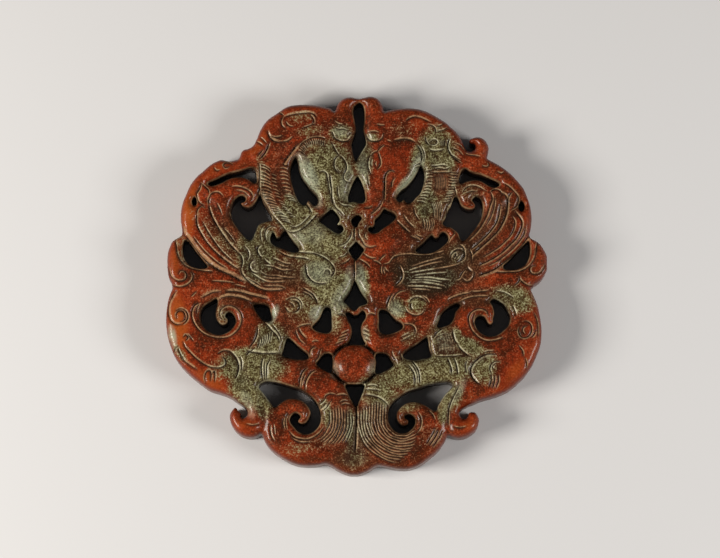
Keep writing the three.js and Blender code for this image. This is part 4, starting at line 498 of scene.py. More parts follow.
    "stem and tail discs": """
    0.28 0.46 0 1.3,-16.6 2.2,-16.6 3.0,-16.7 3.6,-16.9
    0.22 0.34 0 1.6,-16.0 2.4,-15.9 3.2,-16.1
    0.28 0.46 0 1.1,-17.4 2.0,-17.5 2.9,-17.7 3.7,-18.05 4.4,-18.6 4.9,-19.2
    0.26 0.40 0 -1.5,-17.5 -2.4,-17.4 -3.2,-17.6
    0.24 0.38 0 -5.0,-17.9 -4.7,-17.5 -4.2,-17.3 -3.4,-17.4
    0.36 0.44 0 -5.8,-19.6 -5.2,-19.2 -4.8,-18.7
    0.22 0.34 0 -5.4,-20.0 -4.8,-19.5 -4.4,-19.0 -4.1,-18.4
    0.22 0.34 0 -5.9,-18.9 -5.3,-18.5 -4.9,-18.0
    0.18 0.26 0 -1.4,-18.4 -2.0,-18.3 -2.6,-18.6
    0.18 0.26 0 -1.1,-18.9 -1.8,-18.8 -2.4,-19.0
    0.34 0.60 0 -0.1,-19.0 -0.1,-20.4 -0.1,-22.0 -0.15,-23.6 -0.2,-25.0 -0.3,-26.2
    0.26 0.42 0 -10.6,-23.2 -9.8,-24.0 -8.8,-24.35 -7.7,-24.4 -6.6,-24.0 -5.8,-23.4 -5.1,-22.5
    0.22 0.34 0 -10.2,-24.2 -9.2,-24.75 -8.2,-24.9 -7.2,-24.8
    0.20 0.30 0 -10.8,-20.4 -11.1,-21.2 -11.1,-22.1 -10.9,-22.9
    0.18 0.26 0 -11.3,-20.9 -11.5,-21.8 -11.3,-22.8
    0.28 0.40 0 -13.5,-22.2 -13.5,-23.0 -13.3,-23.9 -12.9,-24.6
    0.20 0.30 0 -13.0,-22.0 -12.9,-22.8 -12.8,-23.6
    0.24 0.38 0 12.2,-22.6 11.9,-23.4 11.4,-24.2 10.9,-25.0
    0.26 0.42 0 12.7,-22.9 12.3,-23.8 11.8,-24.6 11.3,-25.3
    0.26 0.42 0 13.2,-23.1 12.9,-23.9 12.3,-24.8 11.8,-25.5
    0.20 0.32 0 11.2,-19.9 11.8,-20.6 12.1,-21.3
    0.20 0.32 0 9.5,-20.2 9.9,-20.9 10.0,-21.8 9.8,-22.6 9.3,-23.3
    0.22 0.34 0 17.0,-22.4 16.0,-22.6 15.0,-22.4
    0.22 0.34 0 -17.2,-22.0 -16.2,-22.2 -15.2,-22.0
    """,
}

# Broad hollows, in rows like those of the cuts, with no fall beside them
HOLLOWS = """
    2.2 0.50 0 -0.1,-18.0 -0.1,-22.0 -0.2,-26.0 -0.3,-30.0
    1.6 0.34 0 -17.6,4.6 -16.8,2.6 -15.6,0.9 -14.2,-0.4
    1.6 0.34 0 17.4,4.6 16.6,2.6 15.6,0.9 14.2,-0.4
    1.3 0.30 0 -11.4,21.6 -12.0,19.4 -12.2,17.0 -11.6,14.4
    1.3 0.30 0 11.6,22.4 12.2,20.0 12.6,17.4 11.8,14.2 10.8,11.6
    1.2 0.34 0 -14.7,-17.6 -14.8,-19.6 -14.6,-21.6 -14.9,-23.8
    1.2 0.34 0 14.3,-17.6 14.2,-19.6 14.1,-21.6 14.1,-23.8
    1.4 0.28 0 -19.8,-11.4 -18.4,-12.8 -17.8,-14.8
    1.4 0.28 0 19.6,-11.6 18.2,-12.8 17.6,-14.8
    1.3 0.28 0 -6.9,6.8 -5.4,5.0 -4.0,3.9 -2.6,3.2
    1.3 0.28 0 6.9,6.4 5.4,4.6 4.0,3.7 2.6,3.4
    1.0 0.26 0 -16.9,19.9 -17.6,20.9 -18.2,22.0
    1.0 0.26 0 16.4,20.0 17.0,21.0 17.4,22.0
    1.2 0.24 0 -24.6,14.4 -22.8,12.4 -21.0,9.4 -19.0,6.6
    1.2 0.24 0 24.2,13.6 22.8,11.4 20.8,8.6 18.8,6.2
"""

# Swelling and sunken forms: middle x and y, half length along and across, turn, lift
SWELLS = {
    "left head": (-5.6, 19.7, 4.4, 4.2, 0, 0.26),
    "left cheek": (-7.0, 15.9, 4.0, 2.0, 118, 0.18),
    "left beak": (-2.7, 14.8, 4.6, 1.7, 92, 0.10),
    "left crest": (-2.6, 25.4, 3.4, 1.8, 95, 0.14),
    "right head": (6.2, 19.4, 4.4, 4.3, 0, 0.28),
    "right cheek": (6.7, 15.9, 4.0, 2.0, 62, 0.18),
    "right beak": (3.5, 14.8, 4.4, 1.6, 88, 0.10),
    "right crest": (2.8, 25.6, 3.4, 1.8, 85, 0.14),
    "left arch over the head": (-9.0, 25.4, 5.0, 2.4, 10, 0.16),
    "right arch over the head": (8.8, 25.4, 5.0, 2.4, -14, 0.16),
    "left neck": (-12.4, 14.8, 8.0, 3.2, 108, -0.30),
    "right neck": (12.4, 15.0, 8.0, 3.2, 74, -0.30),
    "left breast": (-5.4, 7.0, 4.4, 3.2, 20, 0.24),
    "right breast": (5.0, 6.6, 4.4, 3.2, -20, 0.24),
    "left belly": (-3.6, -0.4, 3.6, 2.8, 80, 0.20),
    "right belly": (3.0, -0.6, 3.4, 2.4, 100, 0.18),
    "left coverts": (-11.0, 2.0, 5.0, 3.0, -8, -0.16),
    "right coverts": (11.4, 1.8, 5.0, 3.0, 4, -0.16),
    "left wing": (-22.4, 9.0, 6.0, 3.0, 120, -0.18),
    "right wing": (22.2, 8.6, 6.0, 3.0, 58, -0.18),
    "left shoulder": (-26.0, 12.6, 5.0, 1.9, 80, 0.18),
    "right shoulder": (26.0, 12.0, 5.0, 1.9, 100, 0.18),
    "left thigh": (-9.4, -3.4, 3.6, 3.0, 0, 0.28),
    "right thigh": (9.3, -3.5, 3.6, 3.0, 0, 0.28),
    "left ear": (-28.0, 2.8, 3.6, 2.0, 90, 0.20),
    "right ear": (28.2, 3.4, 3.6, 2.0, 90, 0.20),
    "left cheek of the disc": (-24.4, -9.4, 5.0, 3.6, 60, 0.20),
    "right cheek of the disc": (24.0, -10.4, 5.0, 3.6, 120, 0.20),
    "left scroll": (-20.0, -5.2, 3.0, 2.4, 90, 0.18),
    "right scroll": (19.4, -5.4, 3.0, 2.4, 90, 0.18),
    "left arch": (-10.8, -13.4, 6.4, 1.9, -8, 0.22),
    "right arch": (10.8, -13.4, 6.4, 1.9, 8, 0.22),
    "left tail disc": (-8.0, -21.4, 7.2, 7.0, 0, 0.24),
    "right tail disc": (7.4, -21.4, 7.2, 7.0, 0, 0.24),
    "left hook": (-17.2, -22.4, 2.8, 1.4, 10, 0.16),
    "right hook": (16.8, -22.4, 2.8, 1.4, -10, 0.16),
    "left tuft": (-2.1, 23.9, 1.5, 1.1, 0, 0.16),
    "right tuft": (2.8, 23.4, 1.5, 1.1, 0, 0.16),
}

# Ladders of short cuts: how many, half width, depth, one side, other side
LADDERS = {
    "left crest": (15, 0.15, 0.26,
        "-9.1,20.9 -8.7,21.8 -7.9,22.5 -7.0,22.8 -6.0,22.8 -5.0,22.5",
        "-8.3,20.3 -8.1,21.0 -7.5,21.6 -6.8,21.9 -6.0,21.9 -5.2,21.6"),
    "left neck, outside": (19, 0.19, 0.34,
        "-15.1,19.1 -15.1,17.4 -15.2,15.6 -14.9,14.4 -13.9,12.6 -12.6,10.9 -11.4,9.6",
        "-13.6,18.3 -13.7,16.8 -13.4,15.0 -13.1,13.6 -12.0,11.6 -10.9,10.4 -10.2,9.2"),
    "left neck, middle": (13, 0.14, 0.18,
        "-13.4,17.6 -13.4,15.6 -12.8,13.8 -11.6,12.0 -10.4,10.4",
        "-12.6,17.3 -12.5,15.4 -11.9,13.5 -10.8,11.6 -9.4,10.2"),
    "left neck, inside": (10, 0.16, 0.26,
        "-12.0,18.6 -12.1,17.2 -11.7,15.6 -11.2,14.2 -10.4,12.9",
        "-10.9,18.3 -10.8,16.8 -10.5,15.4 -10.1,13.9 -9.3,12.6"),
    "right ruff": (4, 0.13, 0.18,
        "12.9,22.8 13.4,22.7 14.0,22.9",
        "13.0,21.7 13.4,21.6 13.9,21.7"),
    "right neck, lengthways": (6, 0.17, 0.30,
        "11.5,12.7 12.3,12.8 13.2,13.1",
        "11.9,10.3 12.7,10.1 13.2,10.7"),
    "right neck, outside": (12, 0.18, 0.32,
        "15.9,17.8 15.8,16.4 15.5,15.2 15.0,13.9 14.5,12.9",
        "14.4,18.0 14.3,16.2 14.2,15.0 13.8,13.6 13.4,12.6"),
    "right neck, upper": (5, 0.13, 0.15,
        "12.0,17.2 13.0,17.3 14.0,17.1",
        "12.1,14.8 12.9,14.6 13.8,14.7"),
    "right neck, inside": (11, 0.17, 0.28,
        "10.7,17.9 10.8,16.4 10.5,15.0 9.9,13.8 9.3,12.8",
        "11.8,18.1 11.9,16.5 11.6,14.9 11.0,13.6 10.5,12.6"),
    "right neck, foot": (5, 0.16, 0.26,
        "10.1,10.3 11.1,10.1 12.2,10.2",
        "10.3,8.7 11.0,8.4 11.9,8.4"),
    "left fan": (6, 0.22, 0.38,
        "-15.3,-8.8 -14.3,-8.0 -13.1,-7.4",
        "-15.7,-10.2 -14.7,-9.7 -13.4,-9.0"),
    "right fan": (8, 0.13, 0.20,
        "12.0,-8.5 12.2,-9.6 12.3,-10.8",
        "14.7,-7.7 15.1,-9.0 15.8,-10.4"),
    "right fan, across": (6, 0.12, 0.16,
        "12.2,-8.3 13.4,-7.6 14.6,-7.5",
        "12.5,-10.9 13.9,-11.0 15.3,-10.9"),
}

# The round cuts of the tail discs: half width and depth, then the middle, the radii, the top
# of the stem, the angles at which the smallest and the largest end, and the side of the stem
DISC_CUTS = (
    ((0.19, 0.34), (7.0, -21.3, np.arange(2.75, 7.1, 0.42), -18.4, (318, 262), 1)),
    ((0.19, 0.32), (-7.9, -21.2, np.arange(3.7, 7.3, 0.44), -19.2, (-62, -30), -1)),
)

# Where the stone turns olive: middle x and y, half length along and across, turn, strength
OLIVE = [
    (-4.6, 17.8, 4.4, 4.8, 0, 1.00), (-6.6, 21.0, 2.8, 1.8, 0, 0.55), (-2.8, 13.4, 2.8, 3.8, 10, 0.95),
    (-2.5, 23.8, 2.0, 1.5, 0, 0.85), (-9.4, 10.4, 4.8, 3.0, -40, 1.00),
    (-14.8, 16.0, 5.6, 0.9, 98, 0.50), (-12.2, 11.0, 2.8, 2.0, 120, 0.60),
    (-12.9, 14.2, 1.3, 2.6, 20, -0.60), (-5.6, 6.6, 5.4, 3.9, 0, 1.00),
    (-15.5, 5.2, 3.3, 5.0, -10, 1.00), (-5.8, 1.9, 3.0, 2.8, 0, 0.95), (-3.6, -1.4, 3.7, 4.0, 0, 1.05),
    (-10.6, 2.6, 4.0, 2.4, -8, 0.34), (-20.6, 6.2, 5.6, 2.0, 128, 0.48),
    (-24.2, 9.0, 4.0, 1.4, 112, 0.25), (-13.3, -8.9, 2.6, 3.2, 20, 1.00),
    (-16.3, -13.0, 5.0, 3.0, 0, 1.10), (-16.8, -16.4, 3.2, 3.0, -20, 1.05),
    (-14.6, -18.6, 1.6, 2.6, 10, 0.95), (-8.0, -3.6, 3.4, 2.8, 0, 0.56),
    (-4.7, -20.6, 0.8, 1.8, 0, 0.80), (-5.3, -18.8, 0.9, 0.9, 0, 0.70),
    (-1.0, -22.8, 0.9, 3.4, 0, 0.85), (-3.4, -6.2, 1.4, 2.2, 0, 0.60),
    (-21.4, -13.4, 1.8, 1.8, 30, 0.45), (-21.0, -5.0, 1.2, 1.8, 0, 0.60),
    (-27.6, -10.9, 1.6, 0.7, 125, 0.70), (-9.0, 26.2, 2.6, 1.2, 10, 0.50),
    (-27.4, 4.8, 1.2, 3.0, 8, 0.50), (-8.4, -25.8, 5.0, 1.4, 10, 0.36),
    (-0.4, -26.6, 2.4, 2.2, 0, 0.45), (12.6, 20.8, 3.0, 4.0, 10, 1.00),
    (13.0, 16.2, 1.5, 2.0, 0, -0.55), (11.6, 15.6, 1.2, 4.4, -10, 0.62),
    (13.8, 13.6, 2.4, 4.4, -14, 0.42), (10.9, 12.6, 1.8, 2.8, -10, 0.85),
    (1.0, 19.6, 1.5, 3.4, 0, 0.85), (1.2, 16.4, 0.9, 1.8, 10, 0.60), (10.0, 19.0, 1.8, 4.4, -12, 1.00),
    (8.2, 15.4, 1.4, 2.6, -36, 0.90), (2.3, 23.1, 1.1, 0.8, 0, 0.80), (7.2, 24.4, 2.0, 1.6, -10, 0.42),
    (-7.4, 24.2, 3.0, 1.0, 8, 0.50), (9.4, 8.8, 3.0, 2.4, -40, 0.28), (0.9, 8.6, 1.1, 3.2, 0, 0.45),
    (8.2, -19.3, 2.2, 0.9, 10, 0.65), (13.3, -20.2, 0.9, 1.9, 0, 0.90), (11.0, 0.8, 4.4, 2.0, 0, 0.85),
    (10.4, 4.0, 4.0, 1.2, -4, 0.30), (9.5, -1.8, 1.6, 1.6, 0, 0.60), (15.8, 4.8, 1.8, 1.8, 0, 0.50),
    (0.7, -0.4, 1.3, 3.2, 0, 1.00), (6.2, -4.0, 1.6, 1.8, 0, 0.95), (9.4, -3.2, 1.7, 1.6, 0, 0.80),
    (24.4, -2.4, 3.4, 2.2, -14, 0.92), (13.4, -9.0, 2.8, 3.0, 0, 0.62),
    (17.4, -9.8, 2.8, 1.3, -24, 0.95), (15.6, -8.2, 0.8, 1.4, 20, 0.90),
    (11.0, -13.6, 8.8, 2.9, 8, 1.05), (3.4, -17.0, 3.4, 2.6, -30, 0.85),
    (19.6, -13.0, 2.6, 3.0, 0, 0.78), (14.6, -17.6, 1.8, 2.8, -20, 0.85),
    (1.0, -22.6, 1.6, 3.6, 0, 0.62), (3.4, -20.4, 2.0, 2.4, 0, 0.40), (10.4, -24.2, 3.6, 2.6, 10, 0.30),
    (7.4, -24.6, 2.0, 1.6, 0, -0.70), (1.5, -7.8, 0.8, 1.6, 0, 0.50), (4.6, -6.4, 2.4, 1.8, 0, -0.60),
    (8.4, -8.4, 1.8, 1.2, 30, 0.56), (17.6, 14.8, 2.4, 1.8, 0, 0.46),
]

# Patches of painted pale greenish sheen: highlights on bevels, rims and the bead
PAINTED_SHEEN_PATCHES = [
    (-8.0, 17.0, 3.4, 1.5, 112, 1.10), (-6.6, 13.4, 1.6, 0.9, 120, 0.80),
    (9.4, 18.0, 2.6, 0.9, 74, 1.0), (8.0, 15.8, 2.6, 0.9, 46, 1.1), (-2.3, -2.2, 2.8, 1.3, 60, 0.60),
    (-1.1, 0.4, 2.2, 0.8, 90, 0.60), (0.5, 0.4, 2.6, 0.8, 95, 0.95), (-9.3, 7.4, 1.6, 0.9, 150, 0.60),
    (-1.7, 15.8, 2.6, 0.9, 80, 0.55), (0.9, 18.4, 2.4, 0.8, 95, 0.60),
    (-13.1, -4.9, 1.5, 0.6, 65, 1.15), (12.9, -5.6, 1.0, 0.5, 55, 1.1), (6.0, -3.6, 1.0, 0.8, -30, 0.5),
    (-3.6, -13.4, 0.8, 1.4, 10, 0.5), (2.6, -13.2, 0.8, 1.4, -10, 0.5),
    (-28.8, -8.2, 1.7, 0.6, 102, 1.0), (-6.6, 8.0, 1.6, 1.6, 0, 0.35), (-6.4, -4.7, 1.2, 0.9, 60, 1.00),
    (-6.2, 1.6, 2.2, 1.8, 0, 0.50), (-14.2, 13.4, 1.2, 0.6, 120, 0.5), (6.0, -4.2, 1.2, 0.9, 0, 0.65),
    (1.9, 23.2, 0.7, 0.5, 0, 0.45), (-17.0, -19.0, 2.2, 0.9, 110, 0.45),
    (15.8, -16.8, 2.0, 0.7, 60, 0.45), (0.9, -8.2, 1.4, 0.5, 80, 0.55), (-2.6, 24.0, 1.2, 0.7, 0, 0.55),
]

# Where the red is brighter and turns to orange, or (negative) deeper and browner
WARM = [
    (-26.8, 11.4, 8.4, 2.4, 82, 1.15), (-21.6, 18.4, 5.2, 1.6, 24, 0.85),
    (-15.6, 22.2, 4.2, 2.2, 52, 0.95), (-10.0, 26.6, 6.0, 2.2, 10, 0.55),
    (-28.6, 3.6, 2.0, 4.8, 0, 0.95), (-28.0, -6.0, 6.6, 2.4, 98, 1.15),
    (-23.0, -15.2, 4.4, 2.0, 145, 1.00), (-24.0, 7.0, 5.6, 1.8, 128, 0.55),
    (-7.0, -14.8, 3.0, 2.0, -20, 0.10), (-9.6, -27.0, 5.0, 2.0, 0, 0.60),
    (-17.8, -21.8, 2.8, 2.0, 0, 0.90), (-4.2, -16.4, 2.4, 2.2, 0, 0.30),
    (-0.4, -12.6, 3.4, 3.2, 0, 0.30), (-6.6, -17.0, 2.4, 2.0, -30, 0.35),
    (6.0, 19.2, 3.2, 3.6, 0, 0.50), (24.6, -13.6, 4.6, 2.0, 52, 0.90), (27.4, -8.0, 4.0, 1.8, 80, 0.60),
    (17.4, -22.2, 2.6, 1.6, 0, 0.90), (28.6, 2.8, 1.6, 3.0, 0, 0.10), (18.0, 19.8, 2.6, 2.2, 0, 0.45),
    (8.6, 25.8, 5.2, 1.8, -10, 0.35), (4.2, 7.0, 3.0, 2.2, 0, 0.35), (17.0, -6.2, 2.2, 2.6, 0, 0.20),
    (-17.4, -5.8, 2.2, 2.8, 0, 0.60), (26.2, 9.4, 1.4, 5.0, 0, 0.30), (28.0, 3.0, 1.8, 3.2, 0, 0.40),
    (20.2, 9.0, 5.6, 2.8, 60, -0.30), (12.0, 3.4, 5.6, 3.4, 0, -0.80),
    (13.0, 14.2, 3.2, 6.4, -10, -0.50), (17.4, 3.6, 3.2, 3.8, 0, -0.55),
    (-10.6, 1.8, 5.4, 3.2, -8, -0.60), (9.6, 11.0, 4.2, 3.2, -40, -0.50),
    (4.6, -21.6, 4.4, 6.2, 0, -0.25), (-4.4, -20.8, 3.6, 5.6, 0, -0.35),
    (-13.0, 16.0, 2.8, 6.4, 0, -0.20), (-0.4, -28.0, 3.4, 2.2, 0, -0.60),
    (-18.0, 6.8, 4.4, 2.4, 128, -0.35), (13.6, -9.0, 3.0, 3.2, 0, -0.50),
    (-20.0, -2.4, 4.4, 1.6, -8, -0.35), (19.0, -2.0, 4.4, 1.6, 4, -0.45),
    (-9.0, -4.0, 4.0, 3.0, 0, -0.35),
]

# Patches of painted shade over sunk parts
PAINTED_SHADE_PATCHES = [
    (11.4, 1.6, 5.8, 3.4, 0, 2.40), (16.2, 3.6, 2.8, 3.6, 0, 1.50), (-15.6, 3.8, 2.4, 3.8, 0, 1.20),
    (-11.4, 2.2, 4.2, 2.2, -8, 0.95), (21.0, 8.4, 6.0, 2.8, 58, 0.45),
    (-21.0, 8.4, 6.0, 2.6, 122, 0.25), (-11.2, 11.4, 2.8, 4.4, 35, 0.50),
    (10.4, 11.2, 2.8, 4.6, -35, 0.50), (-14.4, 16.0, 1.6, 4.4, 0, 0.10),
    (13.2, -9.2, 2.2, 2.4, 0, 0.75), (-10.2, 16.6, 0.9, 3.6, 10, 0.60),
    (10.9, 15.6, 0.8, 3.0, -10, 0.45), (-0.4, -24.0, 1.2, 5.0, 0, 0.60),
    (8.4, -7.6, 2.2, 1.5, 30, 0.60), (-8.0, -1.4, 1.8, 0.8, -40, 0.60), (-4.6, 22.0, 1.4, 1.4, 0, 0.50),
    (-1.9, 21.2, 1.0, 1.6, 0, 0.55), (2.2, 21.4, 1.2, 1.0, 0, 0.55), (16.6, -11.2, 2.4, 0.9, 10, 0.60),
    (2.0, -22.0, 2.6, 5.0, 0, 0.45), (-3.0, -22.0, 1.8, 4.6, 0, 0.40), (14.0, 15.0, 1.4, 4.0, 15, 0.40),
    (-4.4, 14.6, 0.6, 2.8, 0, 0.50), (4.7, 15.4, 0.7, 3.0, 0, 0.70), (19.6, -1.8, 4.0, 0.9, 0, 0.55),
    (-19.4, -1.6, 3.6, 0.8, -5, 0.35), (-14.6, -8.6, 1.4, 2.2, 20, 0.55),
    (8.0, -21.0, 1.4, 1.4, 0, 0.30), (-17.6, -15.6, 3.2, 0.9, 0, 0.40), (-2.2, 11.6, 1.2, 4.6, 0, 0.80),
    (1.8, 13.6, 1.4, 2.8, 0, 0.60), (0.8, 19.6, 1.8, 3.4, 0, 1.00), (5.6, -7.2, 2.6, 1.4, 0, 1.0),
    (1.6, -3.4, 1.4, 1.8, 0, 0.9), (3.4, -14.6, 2.0, 1.6, 0, 0.7), (-1.4, 17.6, 1.2, 3.6, 0, 0.80),
    (-3.0, 10.8, 2.4, 2.2, 0, 0.7), (0.4, 10.4, 1.6, 3.0, 0, 0.8), (-0.2, 2.0, 1.1, 2.6, 0, 0.95),
    (0.8, -1.2, 0.9, 2.2, 0, 0.50), (-7.0, -28.3, 7.6, 1.3, 0, 0.85), (7.0, -28.3, 7.6, 1.3, 0, 0.85),
    (0.0, -29.0, 3.2, 1.8, 0, 0.75), (7.4, -24.6, 2.4, 2.2, 0, 1.50), (1.6, -22.4, 1.0, 4.0, 0, 0.6),
    (-9.0, -18.6, 2.4, 1.2, 0, 0.50), (14.8, 16.6, 1.8, 3.0, 0, 0.60), (17.6, 13.8, 2.2, 1.1, 0, 0.60),
    (22.0, 17.2, 2.6, 0.8, -30, 0.50), (9.0, 9.2, 2.2, 1.8, 0, 0.50), (-10.0, 6.4, 1.2, 1.0, 0, 0.70),
    (6.2, -7.6, 2.2, 1.0, 0, 0.85), (0.0, -15.4, 2.2, 0.8, 0, 0.80), (-15.4, 2.6, 1.4, 1.6, 0, 0.50),
    (6.0, -3.4, 1.6, 1.0, 0, 0.4), (8.6, 9.4, 2.2, 1.6, 0, 0.50), (22.4, -2.4, 1.8, 1.2, 0, 0.80),
    (18.2, -8.6, 2.2, 1.0, -20, 0.50), (-10.4, -7.8, 1.8, 1.4, 0, 0.60),
    (-12.2, -11.8, 2.2, 1.2, 0, 0.65), (9.4, -12.0, 4.4, 0.9, 8, 0.65),
    (17.4, -17.5, 2.4, 0.9, 25, 0.60), (2.8, 24.6, 1.4, 1.2, 0, 0.50), (-2.8, 24.9, 1.4, 1.0, 0, 0.40),
    (-3.4, -3.4, 1.4, 1.0, 0, 0.35), (5.8, -2.4, 1.4, 1.0, 0, 0.45), (1.6, -4.2, 1.4, 0.9, 0, 0.55),
    (0.4, 9.6, 1.6, 1.4, 0, 0.55), (-2.4, 9.0, 1.4, 1.2, 0, 0.45), (-3.2, -17.8, 1.4, 1.2, 0, 0.45),
    (-16.4, 13.0, 1.6, 1.2, 0, 0.50), (13.6, 17.0, 2.0, 3.4, 0, 0.60), (-15.8, 3.2, 1.2, 1.6, 0, 0.6),
    (-10.6, 3.4, 3.0, 1.2, 0, 0.45), (-10.2, -13.9, 1.4, 2.6, 0, 0.60), (8.0, 1.6, 2.6, 3.2, 0, 0.9),
    (14.0, 2.4, 2.6, 3.0, 0, 0.9), (-16.2, 4.4, 1.4, 3.4, 0, 0.6), (9.6, 25.6, 4.0, 1.4, -12, 0.15),
    (7.6, -24.6, 1.6, 1.4, 0, 0.6), (0.8, 18.6, 0.8, 2.8, 0, 0.5), (-2.4, 16.0, 0.8, 3.0, 0, 0.5),
    (-12.6, -12.0, 1.6, 1.4, 0, 0.5), (12.6, -11.9, 3.6, 1.0, 6, 0.5), (-9.2, -25.6, 1.8, 0.7, 0, 0.5),
    (-0.4, 7.4, 1.0, 1.2, 0, 0.5), (11.6, -9.0, 1.0, 2.4, 0, 0.6), (-14.2, -8.6, 1.4, 2.2, 0, 0.5),
    (6.0, -11.4, 1.0, 1.6, 0, 0.40), (-6.4, -11.0, 0.8, 1.2, 0, 0.30), (20.0, -3.0, 2.6, 0.6, 0, 0.4),
]

# Sizes of the slab and its relief, in millimetres
THICK = 6.0
LOWEST, HIGHEST = 4.2, 6.5  # between which the face lies
BELOW_LOWEST = 0.35  # how far a cut may go under the lowest ground
LIMITS = ((-29.84, -29.79), (29.74, 29.79))  # the outline stays between these corners
EDGE = (0.95, 1.00)  # the rounding of the face's edges: how far in, how far down
FULLNESS = (2.6, 0.52)  # and the slower swelling of every bar
UNEVEN = ((0.045, 4.0, 1.7), (0.022, 1.3, 5.1))  # height, size and seed of the soft waves
BEAD = {"x": -0.4, "y": -12.6, "rx": 3.42, "ry": 3.2, "middle": 4.3, "top": 6.74}
BEAD_BANK = 0.22  # the share of its size over which the stone sinks to the bead
WALL_BREAK = 3.1  # a row of corners part of the way down the walls

# The cuts
CUT_WIDTH, CUT_DEPTH = 0.64, 0.72  # of the widths and depths in the tables
RISING = (0.7, 0.22)  # a cut rises to the surface over this length, or this share of it
WEAKEST = 0.35  # the share of its depth that is left at its ends
SHALLOW = 0.15  # a cut less deep than this shows less colour
BROAD = 0.15  # a cut wider than this has a broader pale edge
FALL_REACH, FALL_FADE = 2.2, 0.9  # of the stone that falls away beside a cut

# The back: the main cuts are there too, but shallow
BACK_EDGE = 0.45
BACK_MAIN = 0.31  # only cuts deeper than this
BACK_LONG = 7  # and with more points than this
BACK_GROOVE = (0.20, 0.16)  # their half width and depth
BACK_FADE = 0.3  # from an edge, over which they fade

# How far the colours of a cut and of an edge reach
FAR = 0.6
FAR_IN = 3.0

# The spacing of the points
STEP = 0.22  # along an outline or a cut
FINE = 0.05
LINE_GAP, FLANK_GAP = 0.09, 0.085
RINGS = ((0.07, 0.055), (0.19, 0.09), (0.36, 0.13), (0.58, 0.16), (0.82, 0.18))  # inset, gap
FILL, FILL_GAP = 0.235, 0.165
CLEAR = 0.045  # of an outline
BACK_LINE_GAP, BACK_FLANK_GAP = 0.16, 0.14
BACK_RINGS = ((0.12, 0.1), (0.30, 0.2), (0.5, 0.3))
BACK_FILL, BACK_FILL_GAP = 0.5, 0.36
BACK_CLEAR = 0.08

rng = np.random.default_rng(11)


def read(text):
    """Points from text."""
    return np.array([[float(v) for v in pair.split(",")] for pair in text.split()])


def rows(text):
    """Cut lines from text: three numbers and then the points of each."""
    numbers, pairs = [], []
    for word in text.split():
        if "," in word:
            pairs.append(word)
            continue
        if pairs:
            yield numbers, read(" ".join(pairs))
            numbers, pairs = [], []
        numbers.append(float(word))
    yield numbers, read(" ".join(pairs))


def through(points, closed, step):
    """Evenly spaced points on a centripetal spline through the points."""
    if closed:
        padded = np.vstack([points[-1], points, points[:2]])
    else:
        padded = np.vstack([2 * points[0] - points[1], points, 2 * points[-1] - points[-2]])
    dense = []
    for i in range(len(padded) - 3):
        p = padded[i:i + 4]
        gaps = np.maximum(np.sqrt(np.linalg.norm(np.diff(p, axis=0), axis=1)), 1e-4)
        t = np.concatenate([[0], np.cumsum(gaps)])
        s = np.linspace(t[1], t[2], 16, endpoint=False)[:, None]
        a = [((t[k + 1] - s) * p[k] + (s - t[k]) * p[k + 1]) / (t[k + 1] - t[k]) for k in range(3)]
        b = [((t[k + 2] - s) * a[k] + (s - t[k]) * a[k + 1]) / (t[k + 2] - t[k]) for k in range(2)]
        dense.append(((t[2] - s) * b[0] + (s - t[1]) * b[1]) / (t[2] - t[1]))
    line = np.vstack(dense + [points[:1] if closed else points[-1:]])
    run = np.concatenate([[0], np.cumsum(np.linalg.norm(np.diff(line, axis=0), axis=1))])
    count = max(3, round(run[-1] / step))
    at = np.linspace(0, run[-1], count + 1)
    even = np.column_stack([np.interp(at, run, line[:, k]) for k in range(2)])
    return even[:-1] if closed else even


def area(loop):
    """The area in a loop, negative where it runs clockwise."""
    x, y = loop.T
    return 0.5 * np.sum(x * np.roll(y, -1) - np.roll(x, -1) * y)


def turned(loop, left):
    """The loop, run round to the left or to the right."""
    return loop if (area(loop) > 0) == left else loop[::-1]


def inward(loop):
    """At each point of a loop, the way into the stone."""
    along = np.roll(loop, -1, axis=0) - np.roll(loop, 1, axis=0)
    along /= np.linalg.norm(along, axis=1)[:, None]
    return np.column_stack([-along[:, 1], along[:, 0]])


def across(line):
    """The way to the left at each point of an open line."""
    along = np.gradient(line, axis=0)
    along /= np.maximum(np.linalg.norm(along, axis=1), 1e-9)[:, None]
    return np.column_stack([-along[:, 1], along[:, 0]])


def outlines():
    """The rim, run round to the left, and then every opening, run round to the right."""
    rim_text = " ".join([RIM_TOP_LEFT, SHOULDER_LEFT, CHEEK_LEFT, HOOK_LEFT, DISC_LEFT,
                         DISC_RIGHT, HOOK_RIGHT, CHEEK_RIGHT, SHOULDER_RIGHT, RIM_TOP_RIGHT])
    rim = turned(through(read(rim_text), True, STEP), True)
    openings = [turned(through(read(text), True, STEP), False) for text in OPENINGS.values()]
    return [np.clip(rim, *LIMITS)] + openings


loops = outlines()


def disc_cuts(x, y, radii, top, ends, side):
    """The fine round cuts of a tail disc: down the stem and round under the scroll."""
    for k, r in enumerate(radii):
        share = k / (len(radii) - 1)
        end = math.radians(ends[0] + (ends[1] - ends[0]) * share)
        start = math.pi if side > 0 else 0.0
        turn = np.linspace(start, end, 40)
        wave = r + 0.05 * np.sin(turn * 9 + rng.uniform(0, 6)) + rng.uniform(-0.03, 0.03)
        arc = np.column_stack([x + wave * np.cos(turn), y + wave * np.sin(turn) * 0.97])
        down = np.linspace(top - 0.25 * abs(k - 3), y, 8)[:-1]
        stem = np.column_stack([np.full(7, x - side * r) + side * 0.05 * (down - y), down])
        yield through(np.vstack([stem, arc]), False, STEP)


def rungs(count, one, other):
    """The short cuts of a ladder, from one side to the other, none quite straight."""
    one, other = through(read(one), False, FINE), through(read(other), False, FINE)
    for k in range(count):
        share = (k + 0.5) / count + rng.uniform(-0.14, 0.14) / count
        a, b = one[int(share * (len(one) - 1))], other[int(share * (len(other) - 1))]
        bow = np.array([a[1] - b[1], b[0] - a[0]]) * rng.uniform(0.03, 0.10)
        yield through(np.array([a, (a + b) / 2 + bow, b]), False, STEP)


